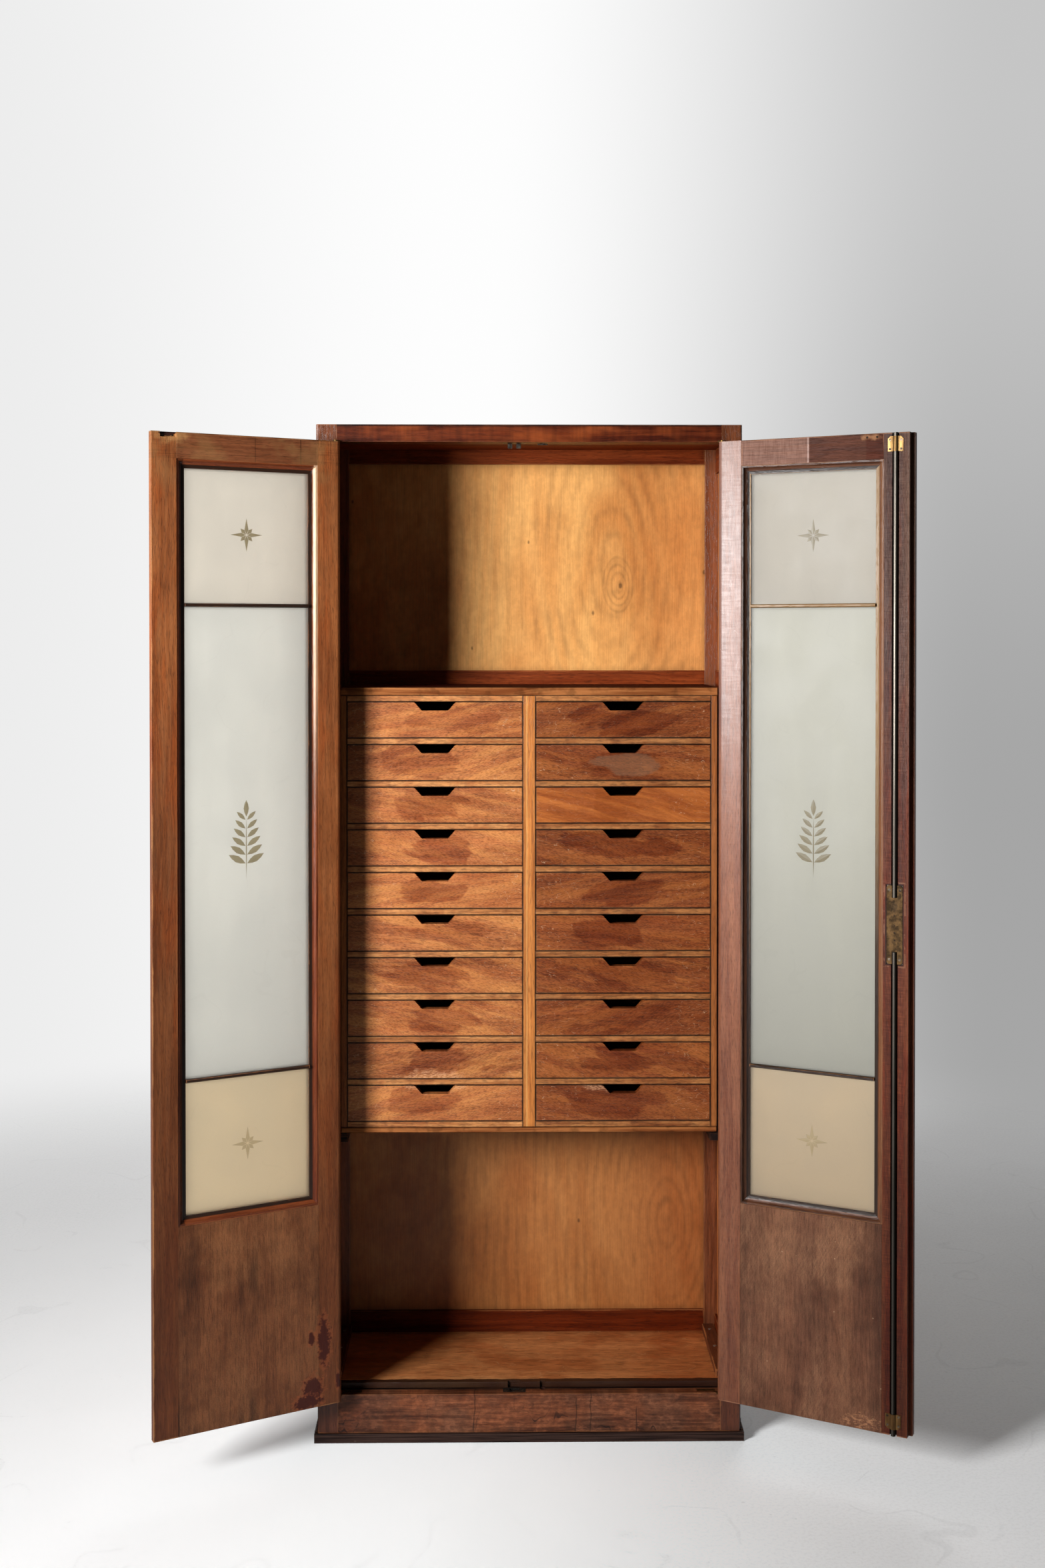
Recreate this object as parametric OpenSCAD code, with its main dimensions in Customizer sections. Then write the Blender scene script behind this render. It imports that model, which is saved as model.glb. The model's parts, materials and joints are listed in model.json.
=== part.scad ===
// Card file cabinet: a tall two-door cabinet of frame-and-panel work. A nest of
// twenty shallow card drawers stands between two open compartments, and the right
// door carries a rack-and-pinion rod lock.
// Millimetres. +Z up, the front faces -Y, +X to the right.
// Origin: on the floor, at the middle of the front, in the plane of the post fronts.

/* [Carcass] */
// Overall width, across the outer faces of the posts
cab_w = 834; // [780:1:960]
// Overall height
cab_h = 2000; // [1960:1:2200]
// Depth from the front of the posts to the back
cab_d = 304; // [296:1:400]
// Width of each corner post, seen from the front
post_w = 40; // [36:1:50]
// Depth of the front corner posts
front_post_d = 45; // [42:1:60]
// Radius of the outer front arris of the posts
post_round = 4; // [2:0.5:6]
// Thickness of the back posts and back rails
back_t = 22; // [18:1:26]
// Height of the front top rail
head_h = 34; // [30:1:50]
// Thickness of the top board
top_t = 19; // [15:1:24]
// Thickness of the side rails
side_rail_t = 18; // [16:1:20]
// Height of the upper side rails
side_head_h = 50; // [40:1:70]
// Top of the lower side rails above the floor
side_foot_z = 142; // [130:1:160]
// Top of the middle rails of the sides and back above the floor
mid_rail_z = 1514; // [1505:1:1560]
// Height of the middle rails
mid_rail_h = 48; // [36:1:60]
// Height of the back top rail
back_head_h = 50; // [40:1:70]
// Top of the back bottom rail above the floor
back_foot_z = 151; // [130:1:170]
// Thickness of the plywood panels
ply_t = 6; // [4:0.5:8]
// Depth of the panel grooves
groove_d = 6; // [4:0.5:8]
// Recess of the panels behind the faces of their rails
ply_recess = 6; // [5:0.5:8]
// Play of a panel in its groove, at each edge
ply_play = 0.5; // [0.3:0.1:1]
// Thickness of the floor board
floor_t = 12; // [9:1:16]
// Top of the floor board above the floor
floor_z = 106; // [100:1:116]
// Front edge of the floor board, behind the post fronts
tread_d = 28; // [27.5:0.5:34]
// Thickness of the plinth board
plinth_t = 22; // [18:1:25]
// Height of the sill behind the plinth
sill_h = 34; // [24:1:50]

/* [Base] */
// Height of the base strips
base_h = 18; // [14:1:24]
// How far the front base strip stands proud
base_proud = 5; // [3:0.5:8]
// How far the base strips stand out past the sides
base_over = 6.3; // [4:0.1:9]
// Width of the side base strips
base_strip_w = 28; // [24:1:36]
// Rounding of the top front arris of the base strip
base_round = 3; // [1:0.5:5]
// Height of the coved mouldings on the sides
cove_h = 22; // [16:1:30]
// Thickness of the cove's top edge
cove_lip = 1.2; // [0.8:0.1:2]

/* [Nest] */
// Space between the nest and the posts, on each side
nest_gap = 3.5; // [1:0.5:6]
// Underside of the nest above the floor
nest_z = 602; // [560:1:640]
// Front of the nest, behind the post fronts
nest_y = 33; // [32.5:0.5:38]
// Space behind the nest
nest_back_gap = 7; // [0:1:12]
// How far the top and bottom boards stand proud
nest_proud = 2; // [1:0.5:2]
// Thickness of the nest's top board
nest_top_t = 16; // [12:1:20]
// Thickness of the nest's bottom board
nest_base_t = 10; // [8:1:14]
// How much shorter the bottom board is, at each end
nest_base_short = 1; // [0.5:0.5:3]
// Thickness of the nest's sides
nest_side_t = 13; // [11:1:16]
// Thickness of the middle upright
divider_t = 25; // [20:1:30]
// Thickness of the rails between the drawers
rail_t = 12; // [10:1:14]
// Depth of those rails
rail_d = 40; // [30:1:60]
// Width of the runners that carry the drawers
runner_w = 18; // [15:1:24]
// Thickness of the nest's back
nest_back_t = 5; // [4:1:8]
// Drawers in each column
rows = 10; // [10]
// Height of one drawer opening
bay_h = 72.5; // [70:0.5:74]
// Section of the bearers that carry the nest and the floor board
bearer_h = 22; // [18:1:30]
// Reach of the nest bearers under the nest
bearer_reach = 13; // [8:1:20]
// Section of the battens on the floor board, across
batten_w = 26; // [20:1:32]
// Height of those battens
batten_h = 15; // [12:1:20]

/* [Drawers] */
// Thickness of a drawer front
front_t = 18; // [15:1:20]
// Play round a drawer front
front_gap = 0.7; // [0.5:0.1:1.2]
// Play under the drawer sides on the runners
slide_gap = 0.3; // [0.2:0.05:0.5]
// Play between a drawer side and the nest
side_gap = 1; // [0.6:0.1:1.5]
// Thickness of the drawer sides and back
box_t = 10; // [8:1:11]
// Height of the drawer sides
box_h = 62; // [50:1:66]
// How much shorter a drawer is than its bay
drawer_short = 11; // [6:1:30]
// Thickness of the drawer bottom
bottom_t = 4; // [3:0.5:5]
// Height of the bottom's groove above the lower edge
bottom_up = 6; // [5:0.5:8]
// Depth of the bottom's groove
bottom_in = 4; // [3:0.5:5]
// Width of the finger notch at the top edge, with its shoulders
notch_w = 92; // [88:1:110]
// Width of the flat foot of the notch
notch_foot_w = 48; // [40:1:54]
// Depth of the notch
notch_h = 17.4; // [15:0.2:24]
// Radius of the notch's shoulders
notch_top_r = 10; // [5:0.5:12]
// Radius at the foot of the notch
notch_foot_r = 5; // [3:0.5:7]

/* [Doors] */
// How far both doors stand open, from closed
open_deg = 152.6; // [100:0.1:175]
// Thickness of the doors
door_t = 26; // [26:0.5:27]
// Gap on the hinge side
hinge_gap = 1.5; // [1.2:0.1:2.5]
// Gap between the doors
meet_gap = 1; // [0.8:0.1:2]
// Gap over the doors
door_top_gap = 3; // [2.5:0.1:5]
// Gap under the doors
door_foot_gap = 2; // [1.8:0.1:4]
// Width of the door stiles
stile_w = 48; // [46:1:60]
// Height of the doors' top rail
door_head_h = 48.5; // [46:0.5:70]
// Height of the wooden panel under the glazing
door_panel_h = 392; // [300:1:440]
// Rounding of the hanging edge's inner arris
edge_r = 9; // [6:0.5:10]
// Width of the glazing rebate
rebate_w = 17; // [14:0.5:20]
// Thickness of the rebate's outer lip
rebate_t = 12; // [10:0.5:12.5]
// Thickness of the panes
pane_t = 4; // [3:0.5:4.5]
// Play round the panes
pane_play = 0.8; // [0.5:0.1:1.5]
// Width of the glazing bars
bar_w = 7; // [6:0.5:10]
// Thickness of the web of a glazing bar
bar_web = 2; // [1.5:0.5:3]
// Height of the upper pane, sight size
upper_pane_h = 250; // [200:1:300]
// Height of the lower pane, sight size
lower_pane_h = 248; // [200:1:300]
// Set-back of the glazing beads from the door face
bead_back = 1; // [0.5:0.5:2]
// Overlap of the right door's free edge on the left door
lap_w = 7; // [5:0.5:9]
// Thickness of that lap
lap_t = 12; // [10:0.5:12.5]
// Play of the lap
lap_gap = 0.8; // [0.5:0.1:1.2]

/* [Pivot hinges] */
// Distance of the pivots in front of the posts
pivot_out = 6.2; // [6:0.1:8]
// Distance of the pivots past the opening's edge
pivot_past = 0.6; // [0.3:0.1:1.5]
// Thickness of the hinge leaves
leaf_t = 2.5; // [2:0.5:3]
// Length of a leaf's plate
leaf_l = 36; // [30:1:37]
// Width of a leaf's plate
leaf_w = 12; // [10:1:14]
// Width of a leaf's arm
arm_w = 6; // [5:0.5:6]
// Radius of the eye
eye_r = 5.5; // [5:0.1:5.8]
// Radius of the pin
pin_r = 3; // [2.5:0.1:3.5]
// Radial clearance of the pin
pin_fit = 0.05; // [0.03:0.01:0.1]
// Play between a washer and the leaf over it
washer_gap = 0.3; // [0.2:0.1:0.5]
// Play of a leaf in its recess
leaf_play = 0.2; // [0.1:0.05:0.3]

/* [Rod lock] */
// Radius of the rods
rod_r = 4.5; // [4:0.1:4.6]
// Distance of the rods from the door's free edge
rod_inset = 26; // [24:0.5:28]
// Depth of the rods' axis behind the door's inner face
rod_sink = 1; // [0.5:0.1:1.5]
// Width of the groove for the rods
rod_groove_w = 13; // [11:0.5:14]
// Depth of that groove
rod_groove_d = 6; // [5.8:0.1:7]
// Height of the lock's middle above the floor
lock_z = 1050; // [950:1:1150]
// Width of the lock case
case_w = 30; // [29:0.5:32]
// Height of the lock case
case_h = 147; // [146:1:170]
// Depth of the lock case, without its cover
case_d = 12; // [12:0.5:13]
// Wall of the lock case
case_wall = 1.5; // [1:0.1:1.6]
// Thickness of the cover
cover_t = 2; // [1.5:0.1:2]
// Play of the case in its mortise
case_play = 0.3; // [0.2:0.1:0.6]
// Clipped corners of the cover
cover_clip = 3.5; // [2:0.5:5]
// Depth of the notches in which the rods enter
entry_d = 23; // [22:0.5:26]
// Play of the rods in those notches
entry_play = 0.4; // [0.3:0.1:0.6]
// Travel of the rods
travel = 12; // [8:0.5:12]
// Module of the rack and pinion
tooth_m = 1; // [0.9:0.05:1.05]
// Teeth on the pinion
teeth = 11; // [11]
// Pressure angle of the teeth
tooth_deg = 25; // [22:1:27]
// Backlash of the teeth
backlash = 0.3; // [0.2:0.05:0.4]
// Thickness of the pinion
pinion_t = 5; // [4:0.5:5.5]
// Radius of the pinion's journal
journal_r = 3.6; // [3:0.1:4]
// Radial clearance of the journal
journal_fit = 0.05; // [0.03:0.01:0.1]
// Side of the square socket for the key
key_w = 4; // [3:0.5:4.5]
// Radius of the keyhole in the door
keyhole_r = 4.5; // [4:0.5:6]
// Thickness of the racks
rack_t = 5; // [4:0.5:5.5]
// Width of the racks behind their teeth
rack_w = 3.5; // [3:0.1:3.8]
// Width of a rod guide
guide_w = 29; // [27:0.5:32]
// Length of a rod guide
guide_l = 28; // [24:0.5:32]
// Thickness of a rod guide
guide_t = 1.3; // [1:0.1:1.5]
// Radial play of the rods in their guides
guide_play = 0.25; // [0.2:0.05:0.3]
// Distance of the upper guide from the door's top
upper_guide_in = 7; // [4:0.5:14]
// Distance of the lower guide from the door's foot
lower_guide_in = 13; // [12:0.5:20]
// Clipped corners of a guide
guide_clip = 5; // [3:0.5:6]

/* [Keepers] */
// Length of a keeper plate
keeper_l = 45; // [40:1:52]
// Depth of a keeper plate, front to back
keeper_d = 20; // [18:1:24]
// Thickness of the keeper plates
keeper_t = 2; // [1.5:0.5:3]
// Front of the keeper plates behind the post fronts
keeper_y = 17; // [15:1:18]
// Distance of the left door's keepers from the middle
keeper_x = 7; // [5:1:10]
// Drop of the two tabs
tab_h = 9; // [6:0.5:11]
// Width of each tab
tab_w = 9; // [7:0.5:11]
// Space between the tabs
tab_gap = 8; // [6:0.5:11]
// Play of a rod in its hole
bolt_play = 0.8; // [0.6:0.1:1.2]
// Width of the catch's mortise in the left door
catch_w = 31; // [26:1:34]
// Height of the catch's mortise
catch_h = 10; // [8:0.5:12]
// Depth of the catch's mortise
catch_d = 6; // [4:0.5:8]

/* [Hidden] */
$fn = 48;
eps = 0.01;
// Width of a glue line between two pieces of one node
glue = 0.05;
// Sides, as signs
LEFT = -1;
RIGHT = 1;
SIDES = [LEFT, RIGHT];

// Carcass
half_w = cab_w / 2;
open_x = half_w - post_w;
back_y = cab_d - back_t;
head_z = cab_h - head_h;
ceiling_z = cab_h - top_t;
side_in_x = half_w - side_rail_t;
side_ply_x = half_w - ply_recess - ply_t;
back_ply_y = back_y + ply_recess;
tread_z = floor_z - floor_t;

// Nest
nest_w = 2 * (open_x - nest_gap);
nest_d = back_y - nest_back_gap - nest_y;
nest_h = nest_base_t + nest_top_t + (rows + 1) * rail_t + rows * bay_h;
nest_top_z = nest_z + nest_h;
nest_in_z = nest_z + nest_base_t;
nest_in_h = nest_h - nest_base_t - nest_top_t;
nest_in_x = nest_w / 2 - nest_side_t;
nest_in_d = nest_d - nest_back_t;
bay_w = nest_in_x - divider_t / 2;
pitch = bay_h + rail_t;
runner_y = nest_y + rail_d;
runner_l = nest_in_d - rail_d;
drawer_l = nest_in_d - drawer_short;

// Doors, in the frame of a leaf: x from the hanging edge, y from the outer face
leaf_width = open_x - hinge_gap - meet_gap / 2;
leaf_z = tread_z + door_foot_gap;
leaf_top = head_z - door_top_gap;
leaf_h = leaf_top - leaf_z;
glaze_z = leaf_z + door_panel_h;
glaze_top = leaf_top - door_head_h;
sight_x = stile_w + rebate_w;
sight_w = leaf_width - 2 * sight_x;
sight_z = glaze_z + rebate_w;
sight_top = glaze_top - rebate_w;
mid_w = leaf_width - 2 * stile_w;
bead_y = rebate_t + pane_t;
bead_t = door_t - bead_back - bead_y;
pivot_x = open_x + pivot_past;
eye_x = -(hinge_gap + pivot_past);
upper_bar_z = sight_top - upper_pane_h - bar_w / 2;
lower_bar_z = sight_z + lower_pane_h + bar_w / 2;

// Lock, in the frame of the right leaf
rod_x = leaf_width - rod_inset;
rod_y = door_t - rod_sink;
rod_cab_x = open_x - hinge_gap - rod_x;
case_y = door_t - cover_t - case_d;
cavity_y = case_y + case_wall;
cavity_d = case_d - case_wall;
pitch_r = tooth_m * teeth / 2;
tooth_top = 0.7 * tooth_m;
tooth_foot = tooth_m;
gear_y = cavity_y + case_play;
rack_y = cavity_y + 2 * case_play;
rack_over = travel + 3 * tooth_m;
entry_z = case_h / 2 - entry_d;
link_h = 8;

function drawer_name(side, row) = str("drawer_", side < 0 ? "left" : "right", "_", row < 10 ? "0" : "", row);

DRAWERS = [for (s = SIDES, r = [1:rows]) drawer_name(s, r)];

// A box between two corners.
module block(a, b) {
    translate(a) cube(b - a);
}

// The same shape on the right and, mirrored, on the left.
module both_sides() {
    for (s = SIDES) mirror([s < 0 ? 1 : 0, 0, 0]) children();
}

// Panels in the sides and the back. "grow" is 0 for a panel and its play for a groove.
module side_panel_shape(grow) {
    for (z = [[side_foot_z, mid_rail_z - mid_rail_h], [mid_rail_z, ceiling_z - side_head_h]])
        block([side_ply_x - grow, front_post_d - groove_d - grow, z[0] - groove_d - grow],
              [side_ply_x + ply_t + grow, back_y + groove_d + grow, z[1] + groove_d + grow]);
}

module back_panel_shape(grow) {
    for (z = [[back_foot_z, mid_rail_z - mid_rail_h], [mid_rail_z, cab_h - back_head_h]])
        block([-open_x - groove_d - grow, back_ply_y - grow, z[0] - groove_d - grow],
              [open_x + groove_d + grow, back_ply_y + ply_t + grow, z[1] + groove_d + grow]);
}

// Corner posts, standing on the base strips.
module posts() {
    color("#6b3018") both_sides() {
        difference() {
            translate([0, 0, base_h]) linear_extrude(cab_h - base_h) difference() {
                translate([open_x, 0]) square([post_w, front_post_d]);
                translate([half_w - post_round, 0]) difference() {
                    translate([0, -eps]) square(post_round + 2 * eps);
                    translate([0, post_round]) circle(post_round);
                    translate([-eps, post_round]) square(post_round);
                }
            }
            side_panel_shape(ply_play / 2);
        }
        difference() {
            block([open_x, back_y, base_h], [half_w, cab_d, cab_h]);
            side_panel_shape(ply_play / 2);
            back_panel_shape(ply_play / 2);
        }
    }
}

// Front top rail, with recesses for the hinge leaves, the keepers and the upper rod.
module head_rail() {
    color("#7a3716") difference() {
        block([-open_x, 0, head_z], [open_x, front_post_d, cab_h]);
        hinge_recesses(head_z, leaf_t);
        upper_keeper_recesses();
        rod_hole(head_z);
    }
}

module top_board() {
    color("#74371c") block([-half_w, front_post_d, ceiling_z], [half_w, back_y, cab_h]);
}

// Three rails in each side: under the top board, above the nest and at the foot.
module side_rails() {
    color("#6b3018") both_sides() difference() {
        for (z = [[base_h, side_foot_z], [mid_rail_z - mid_rail_h, mid_rail_z],
                  [ceiling_z - side_head_h, ceiling_z]])
            block([side_in_x, front_post_d, z[0]], [half_w, back_y, z[1]]);
        side_panel_shape(ply_play / 2);
    }
}

module side_panels() {
    color("#b8702f") both_sides() side_panel_shape(0);
}

module back_rails() {
    color("#5c2415") difference() {
        for (z = [[base_h, back_foot_z], [mid_rail_z - mid_rail_h, mid_rail_z],
                  [cab_h - back_head_h, cab_h]])
            block([-open_x, back_y, z[0]], [open_x, cab_d, z[1]]);
        back_panel_shape(ply_play / 2);
    }
}

module back_panels() {
    color("#c58a43") back_panel_shape(0);
}

// Floor board between the posts and the side rails, notched where the rods and the catch drop.
module floor_board() {
    color("#9a6232") difference() {
        translate([0, 0, tread_z]) linear_extrude(floor_t) difference() {
            union() {
                translate([-open_x, tread_d]) square([2 * open_x, back_y - tread_d]);
                translate([-side_in_x, front_post_d]) square([2 * side_in_x, back_y - front_post_d]);
            }
            translate([rod_cab_x - rod_r - bolt_play, tread_d - eps])
                square([2 * (rod_r + bolt_play), rod_y + rod_r + bolt_play - tread_d + 3]);
            translate([-keeper_x - keeper_l / 2 - tab_gap / 2 - tab_w, tread_d - eps])
                square([tab_gap + 2 * tab_w, 6]);
        }
    }
}

// Rail behind the plinth: its top makes the back of the tread.
module sill() {
    color("#4a2416") difference() {
        block([-open_x, plinth_t, tread_z - sill_h], [open_x, front_post_d, tread_z]);
        rod_hole(tread_z - travel - 2);
        lower_keeper_recess();
    }
}

module plinth_board() {
    color("#5a2c1a") difference() {
        block([-open_x, 0, base_h], [open_x, plinth_t, tread_z]);
        hinge_recesses(tread_z - leaf_t, leaf_t);
        lower_keeper_recess();
        rod_hole(tread_z - travel - 2);
    }
}

// Strips on the floor, under the plinth, the sides and the back.
module base_strips() {
    color("#33201a") {
        translate([-half_w - base_over, 0, 0]) rotate([90, 0, 90]) linear_extrude(cab_w + 2 * base_over)
            difference() {
                translate([-base_proud, 0]) square([base_proud + plinth_t, base_h]);
                translate([-base_proud, base_h - base_round]) difference() {
                    translate([-eps, 0]) square(base_round + eps);
                    translate([base_round, 0]) circle(base_round);
                }
            }
        both_sides() block([half_w + base_over - base_strip_w, plinth_t + glue, 0],
                           [half_w + base_over, back_y - glue, base_h]);
        block([-half_w - base_over, back_y, 0], [half_w + base_over, cab_d, base_h]);
    }
}

// Coved mouldings over the side strips, flaring out to their edge.
module side_coves() {
    steps = 6;
    rise = cove_h - cove_lip;
    out = base_over - cove_lip;
    profile = concat([[0, 0], [base_over, 0], [base_over, cove_lip]],
        [for (i = [0:steps]) let (a = 90 * i / steps)
            [base_over - out * sin(a), cove_lip + rise * (1 - cos(a))]],
        [[0, cove_h]]);
    color("#3c2218") both_sides()
        translate([half_w, cab_d, base_h]) rotate([90, 0, 0])
            linear_extrude(cab_d - post_round) polygon(profile);
}

// Battens screwed to the floor board along the sides.
module floor_battens() {
    color("#6a3a20") both_sides()
        block([side_in_x - batten_w, front_post_d, floor_z], [side_in_x, back_y, floor_z + batten_h]);
}

// Bearers under the ends of the nest and under the edges of the floor board.
module bearers() {
    color("#4a2818") both_sides() {
        block([nest_w / 2 - bearer_reach, front_post_d, nest_z - bearer_h], [side_ply_x, back_y, nest_z]);
        block([side_in_x - bearer_h, front_post_d, tread_z - bearer_h], [side_in_x, back_y, tread_z]);
    }
}

// Keepers in the top rail and the threshold.
module upper_keeper_recesses() {
    block([-keeper_x - keeper_l, keeper_y, head_z - eps],
          [-keeper_x, keeper_y + keeper_d, head_z + keeper_t]);
    block([rod_cab_x - keeper_d / 2, keeper_y, head_z - eps],
          [rod_cab_x + keeper_d / 2, keeper_y + keeper_d, head_z + keeper_t]);
}

module lower_keeper_recess() {
    block([-keeper_x - keeper_l, keeper_y - keeper_d / 2, tread_z - keeper_t],
          [-keeper_x, tread_d, tread_z + eps]);
    translate([-keeper_x - keeper_l / 2, 0, 0]) catch_slot(tread_z - keeper_t - travel, travel + eps);
}

// Slot for the left door's catch, in the lower keeper and the wood under it.
module catch_slot(z, h) {
    translate([-tab_w, keeper_y - keeper_t, z]) cube([2 * tab_w, tab_w, h]);
}

module rod_hole(z) {
    translate([rod_cab_x, rod_y, z - eps]) cylinder(r = rod_r + bolt_play, h = travel + 2 + 2 * eps);
}

module keepers() {
    tab_x = -keeper_x - keeper_l / 2;
    color("#6d6a62") {
        block([-keeper_x - keeper_l, keeper_y, head_z], [-keeper_x, keeper_y + keeper_d, head_z + keeper_t]);
        for (s = SIDES) translate([tab_x + s * (tab_gap + tab_w) / 2, 0, 0])
            block([-tab_w / 2, keeper_y + keeper_d - keeper_t, head_z - tab_h],
                  [tab_w / 2, keeper_y + keeper_d, head_z + eps]);
        difference() {
            union() {
                block([rod_cab_x - keeper_d / 2, keeper_y, head_z],
                      [rod_cab_x + keeper_d / 2, keeper_y + keeper_d, head_z + keeper_t]);
                block([rod_cab_x - keeper_d / 2, keeper_y + keeper_d - keeper_t, head_z - keeper_t],
                      [rod_cab_x + keeper_d / 2, keeper_y + keeper_d, head_z + eps]);
            }
            rod_hole(head_z);
        }
        difference() {
            block([-keeper_x - keeper_l, keeper_y - keeper_d / 2, tread_z - keeper_t],
                  [-keeper_x, tread_d, tread_z]);
            translate([tab_x, 0, 0]) catch_slot(tread_z - keeper_t - eps, keeper_t + 2 * eps);
        }
    }
}

// Outline of a cranked hinge leaf, in the frame of a closed leaf.
module leaf_outline(grow) {
    plate_x = 8;
    plate_y = (door_t - leaf_w) / 2;
    reach = [plate_x + 2, plate_y + 3];
    eye = [eye_x, -pivot_out];
    run = reach - eye;
    side = [run[1], -run[0]] / norm(run) * (arm_w / 2 + grow);
    translate(eye) circle(eye_r + grow);
    translate([plate_x - grow, plate_y - grow]) square([leaf_l + 2 * grow, leaf_w + 2 * grow]);
    polygon([eye - side, eye + side, reach + side + [3, 3], reach + [3, 3] - side]);
}

// Puts a shape drawn in the frame of a closed leaf where the closed leaf stands.
module closed(side) {
    mirror([side > 0 ? 1 : 0, 0, 0]) translate([hinge_gap - open_x, 0, 0]) children();
}

// The same, swung open about the pivot as in the photograph.
module hung(side) {
    translate([side * pivot_x, -pivot_out, 0]) rotate([0, 0, side * open_deg])
        translate([-side * pivot_x, pivot_out, 0]) closed(side) children();
}

module hinge_recesses(z, h) {
    for (s = SIDES) closed(s) translate([0, 0, z - eps]) linear_extrude(h + 2 * eps) leaf_outline(leaf_play);
}

// Fixed leaves in the top rail and the plinth, each with its pin and washer.
module fixed_pivots() {
    color("#8a7c62") for (s = SIDES) closed(s) {
        translate([0, 0, head_z]) linear_extrude(leaf_t) leaf_outline(0);
        translate([0, 0, tread_z - leaf_t]) linear_extrude(leaf_t) leaf_outline(0);
        translate([eye_x, -pivot_out, leaf_top - leaf_t])
            cylinder(r = pin_r, h = leaf_t + door_top_gap + eps);
        translate([eye_x, -pivot_out, leaf_top + washer_gap])
            cylinder(r = eye_r, h = door_top_gap - washer_gap + eps);
        translate([eye_x, -pivot_out, tread_z - eps])
            cylinder(r = pin_r, h = leaf_t + door_foot_gap + eps);
        translate([eye_x, -pivot_out, tread_z - eps])
            cylinder(r = eye_r, h = door_foot_gap - washer_gap + eps);
    }
}

// Moving leaves, let into the top and foot of a door.
module door_pivots(side) {
    color("#8a7c62") hung(side) for (z = [leaf_z, leaf_top - leaf_t])
        translate([0, 0, z]) difference() {
            linear_extrude(leaf_t) leaf_outline(0);
            translate([eye_x, -pivot_out, -eps]) cylinder(r = pin_r + pin_fit, h = leaf_t + 2 * eps);
        }
}

module door_pivot_recesses() {
    for (z = [leaf_z - eps, leaf_top - leaf_t]) translate([0, 0, z])
        linear_extrude(leaf_t + eps) leaf_outline(leaf_play);
}

// Nest: uprights, boards, rails, runners and back.
module nest_uprights() {
    color("#8a4c28") {
        both_sides() block([nest_in_x, nest_y, nest_in_z],
                           [nest_w / 2, nest_y + nest_d, nest_in_z + nest_in_h]);
        block([-divider_t / 2, nest_y, nest_in_z],
              [divider_t / 2, nest_y + nest_in_d, nest_in_z + nest_in_h]);
    }
}

module nest_boards() {
    base_x = nest_w / 2 - nest_base_short;
    color("#92552e") {
        block([-nest_w / 2, nest_y - nest_proud, nest_top_z - nest_top_t],
              [nest_w / 2, nest_y + nest_d, nest_top_z]);
        block([-base_x, nest_y - nest_proud, nest_z], [base_x, nest_y + nest_d, nest_in_z]);
    }
}

module each_level() {
    for (i = [0:rows]) translate([0, 0, nest_in_z + i * pitch]) both_sides() children();
}

module nest_rails() {
    color("#8f5029") each_level() block([divider_t / 2, nest_y, 0], [nest_in_x, runner_y, rail_t]);
}

module nest_runners() {
    color("#a9713f") each_level() {
        block([divider_t / 2, runner_y, 0], [divider_t / 2 + runner_w, runner_y + runner_l, rail_t]);
        block([nest_in_x - runner_w, runner_y, 0], [nest_in_x, runner_y + runner_l, rail_t]);
    }
}

module nest_back() {
    color("#b98548") block([-nest_in_x, nest_y + nest_in_d, nest_in_z],
                           [nest_in_x, nest_y + nest_d, nest_in_z + nest_in_h]);
}

// Points of an arc, for outlines.
function arc(c, r, a0, a1, n) = [for (i = [0:n]) let (a = a0 + (a1 - a0) * i / n) c + r * [cos(a), sin(a)]];

// Front of a drawer: a board whose top edge dips to a finger notch. Each flank runs straight
// between the arc of its shoulder and the arc of its foot, and touches both.
// Drawn about its middle, from its lower edge up.
module front_outline(w, h) {
    run = [(notch_w - notch_foot_w) / 2, notch_h - notch_top_r - notch_foot_r];
    slope = asin(min(1, (notch_top_r + notch_foot_r) / norm(run))) + atan2(run[1], run[0]);
    right = concat(arc([notch_w / 2, h - notch_top_r], notch_top_r, 90, 90 + slope, 5),
        arc([notch_foot_w / 2, h - notch_h + notch_foot_r], notch_foot_r, slope - 90, -90, 4));
    left = [for (i = [len(right) - 1:-1:0]) [-right[i][0], right[i][1]]];
    polygon(concat([[-w / 2, 0], [w / 2, 0], [w / 2, h]], right, left, [[-w / 2, h]]));
}

// One drawer: front, two sides, back, and a bottom in grooves.
module drawer(side, row) {
    bay_z = nest_top_z - nest_top_t - row * pitch;
    mid_x = divider_t / 2 + bay_w / 2;
    front_w = bay_w - 2 * front_gap;
    box_w = bay_w - 2 * side_gap;
    in_w = box_w - 2 * box_t;
    sides_l = drawer_l - front_t;
    lift = slide_gap;
    groove_z = lift + bottom_up;
    translate([side * mid_x, nest_y, bay_z]) {
        color("#8a4423") difference() {
            translate([0, front_t, front_gap]) rotate([90, 0, 0])
                linear_extrude(front_t) front_outline(front_w, bay_h - 2 * front_gap);
            drawer_bottom(in_w, sides_l, groove_z, ply_play / 2);
        }
        color("#b27a44") for (s = SIDES) difference() {
            translate([s * (box_w - box_t) / 2 - box_t / 2, front_t + glue, lift])
                cube([box_t, sides_l - glue, box_h]);
            drawer_bottom(in_w, sides_l, groove_z, ply_play / 2);
        }
        color("#b27a44") translate([-in_w / 2 + glue, drawer_l - box_t, groove_z + bottom_t + ply_play / 2])
            cube([in_w - 2 * glue, box_t, box_h - bottom_up - bottom_t - ply_play / 2]);
        color("#c79a5c") drawer_bottom(in_w, sides_l, groove_z, 0);
    }
}

module drawer_bottom(w, l, z, grow) {
    translate([-w / 2 - bottom_in - grow, front_t - bottom_in - grow, z - (grow > 0 ? grow : 0)])
        cube([w + 2 * (bottom_in + grow), l + bottom_in + 2 * grow, bottom_t + 2 * grow]);
}

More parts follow.
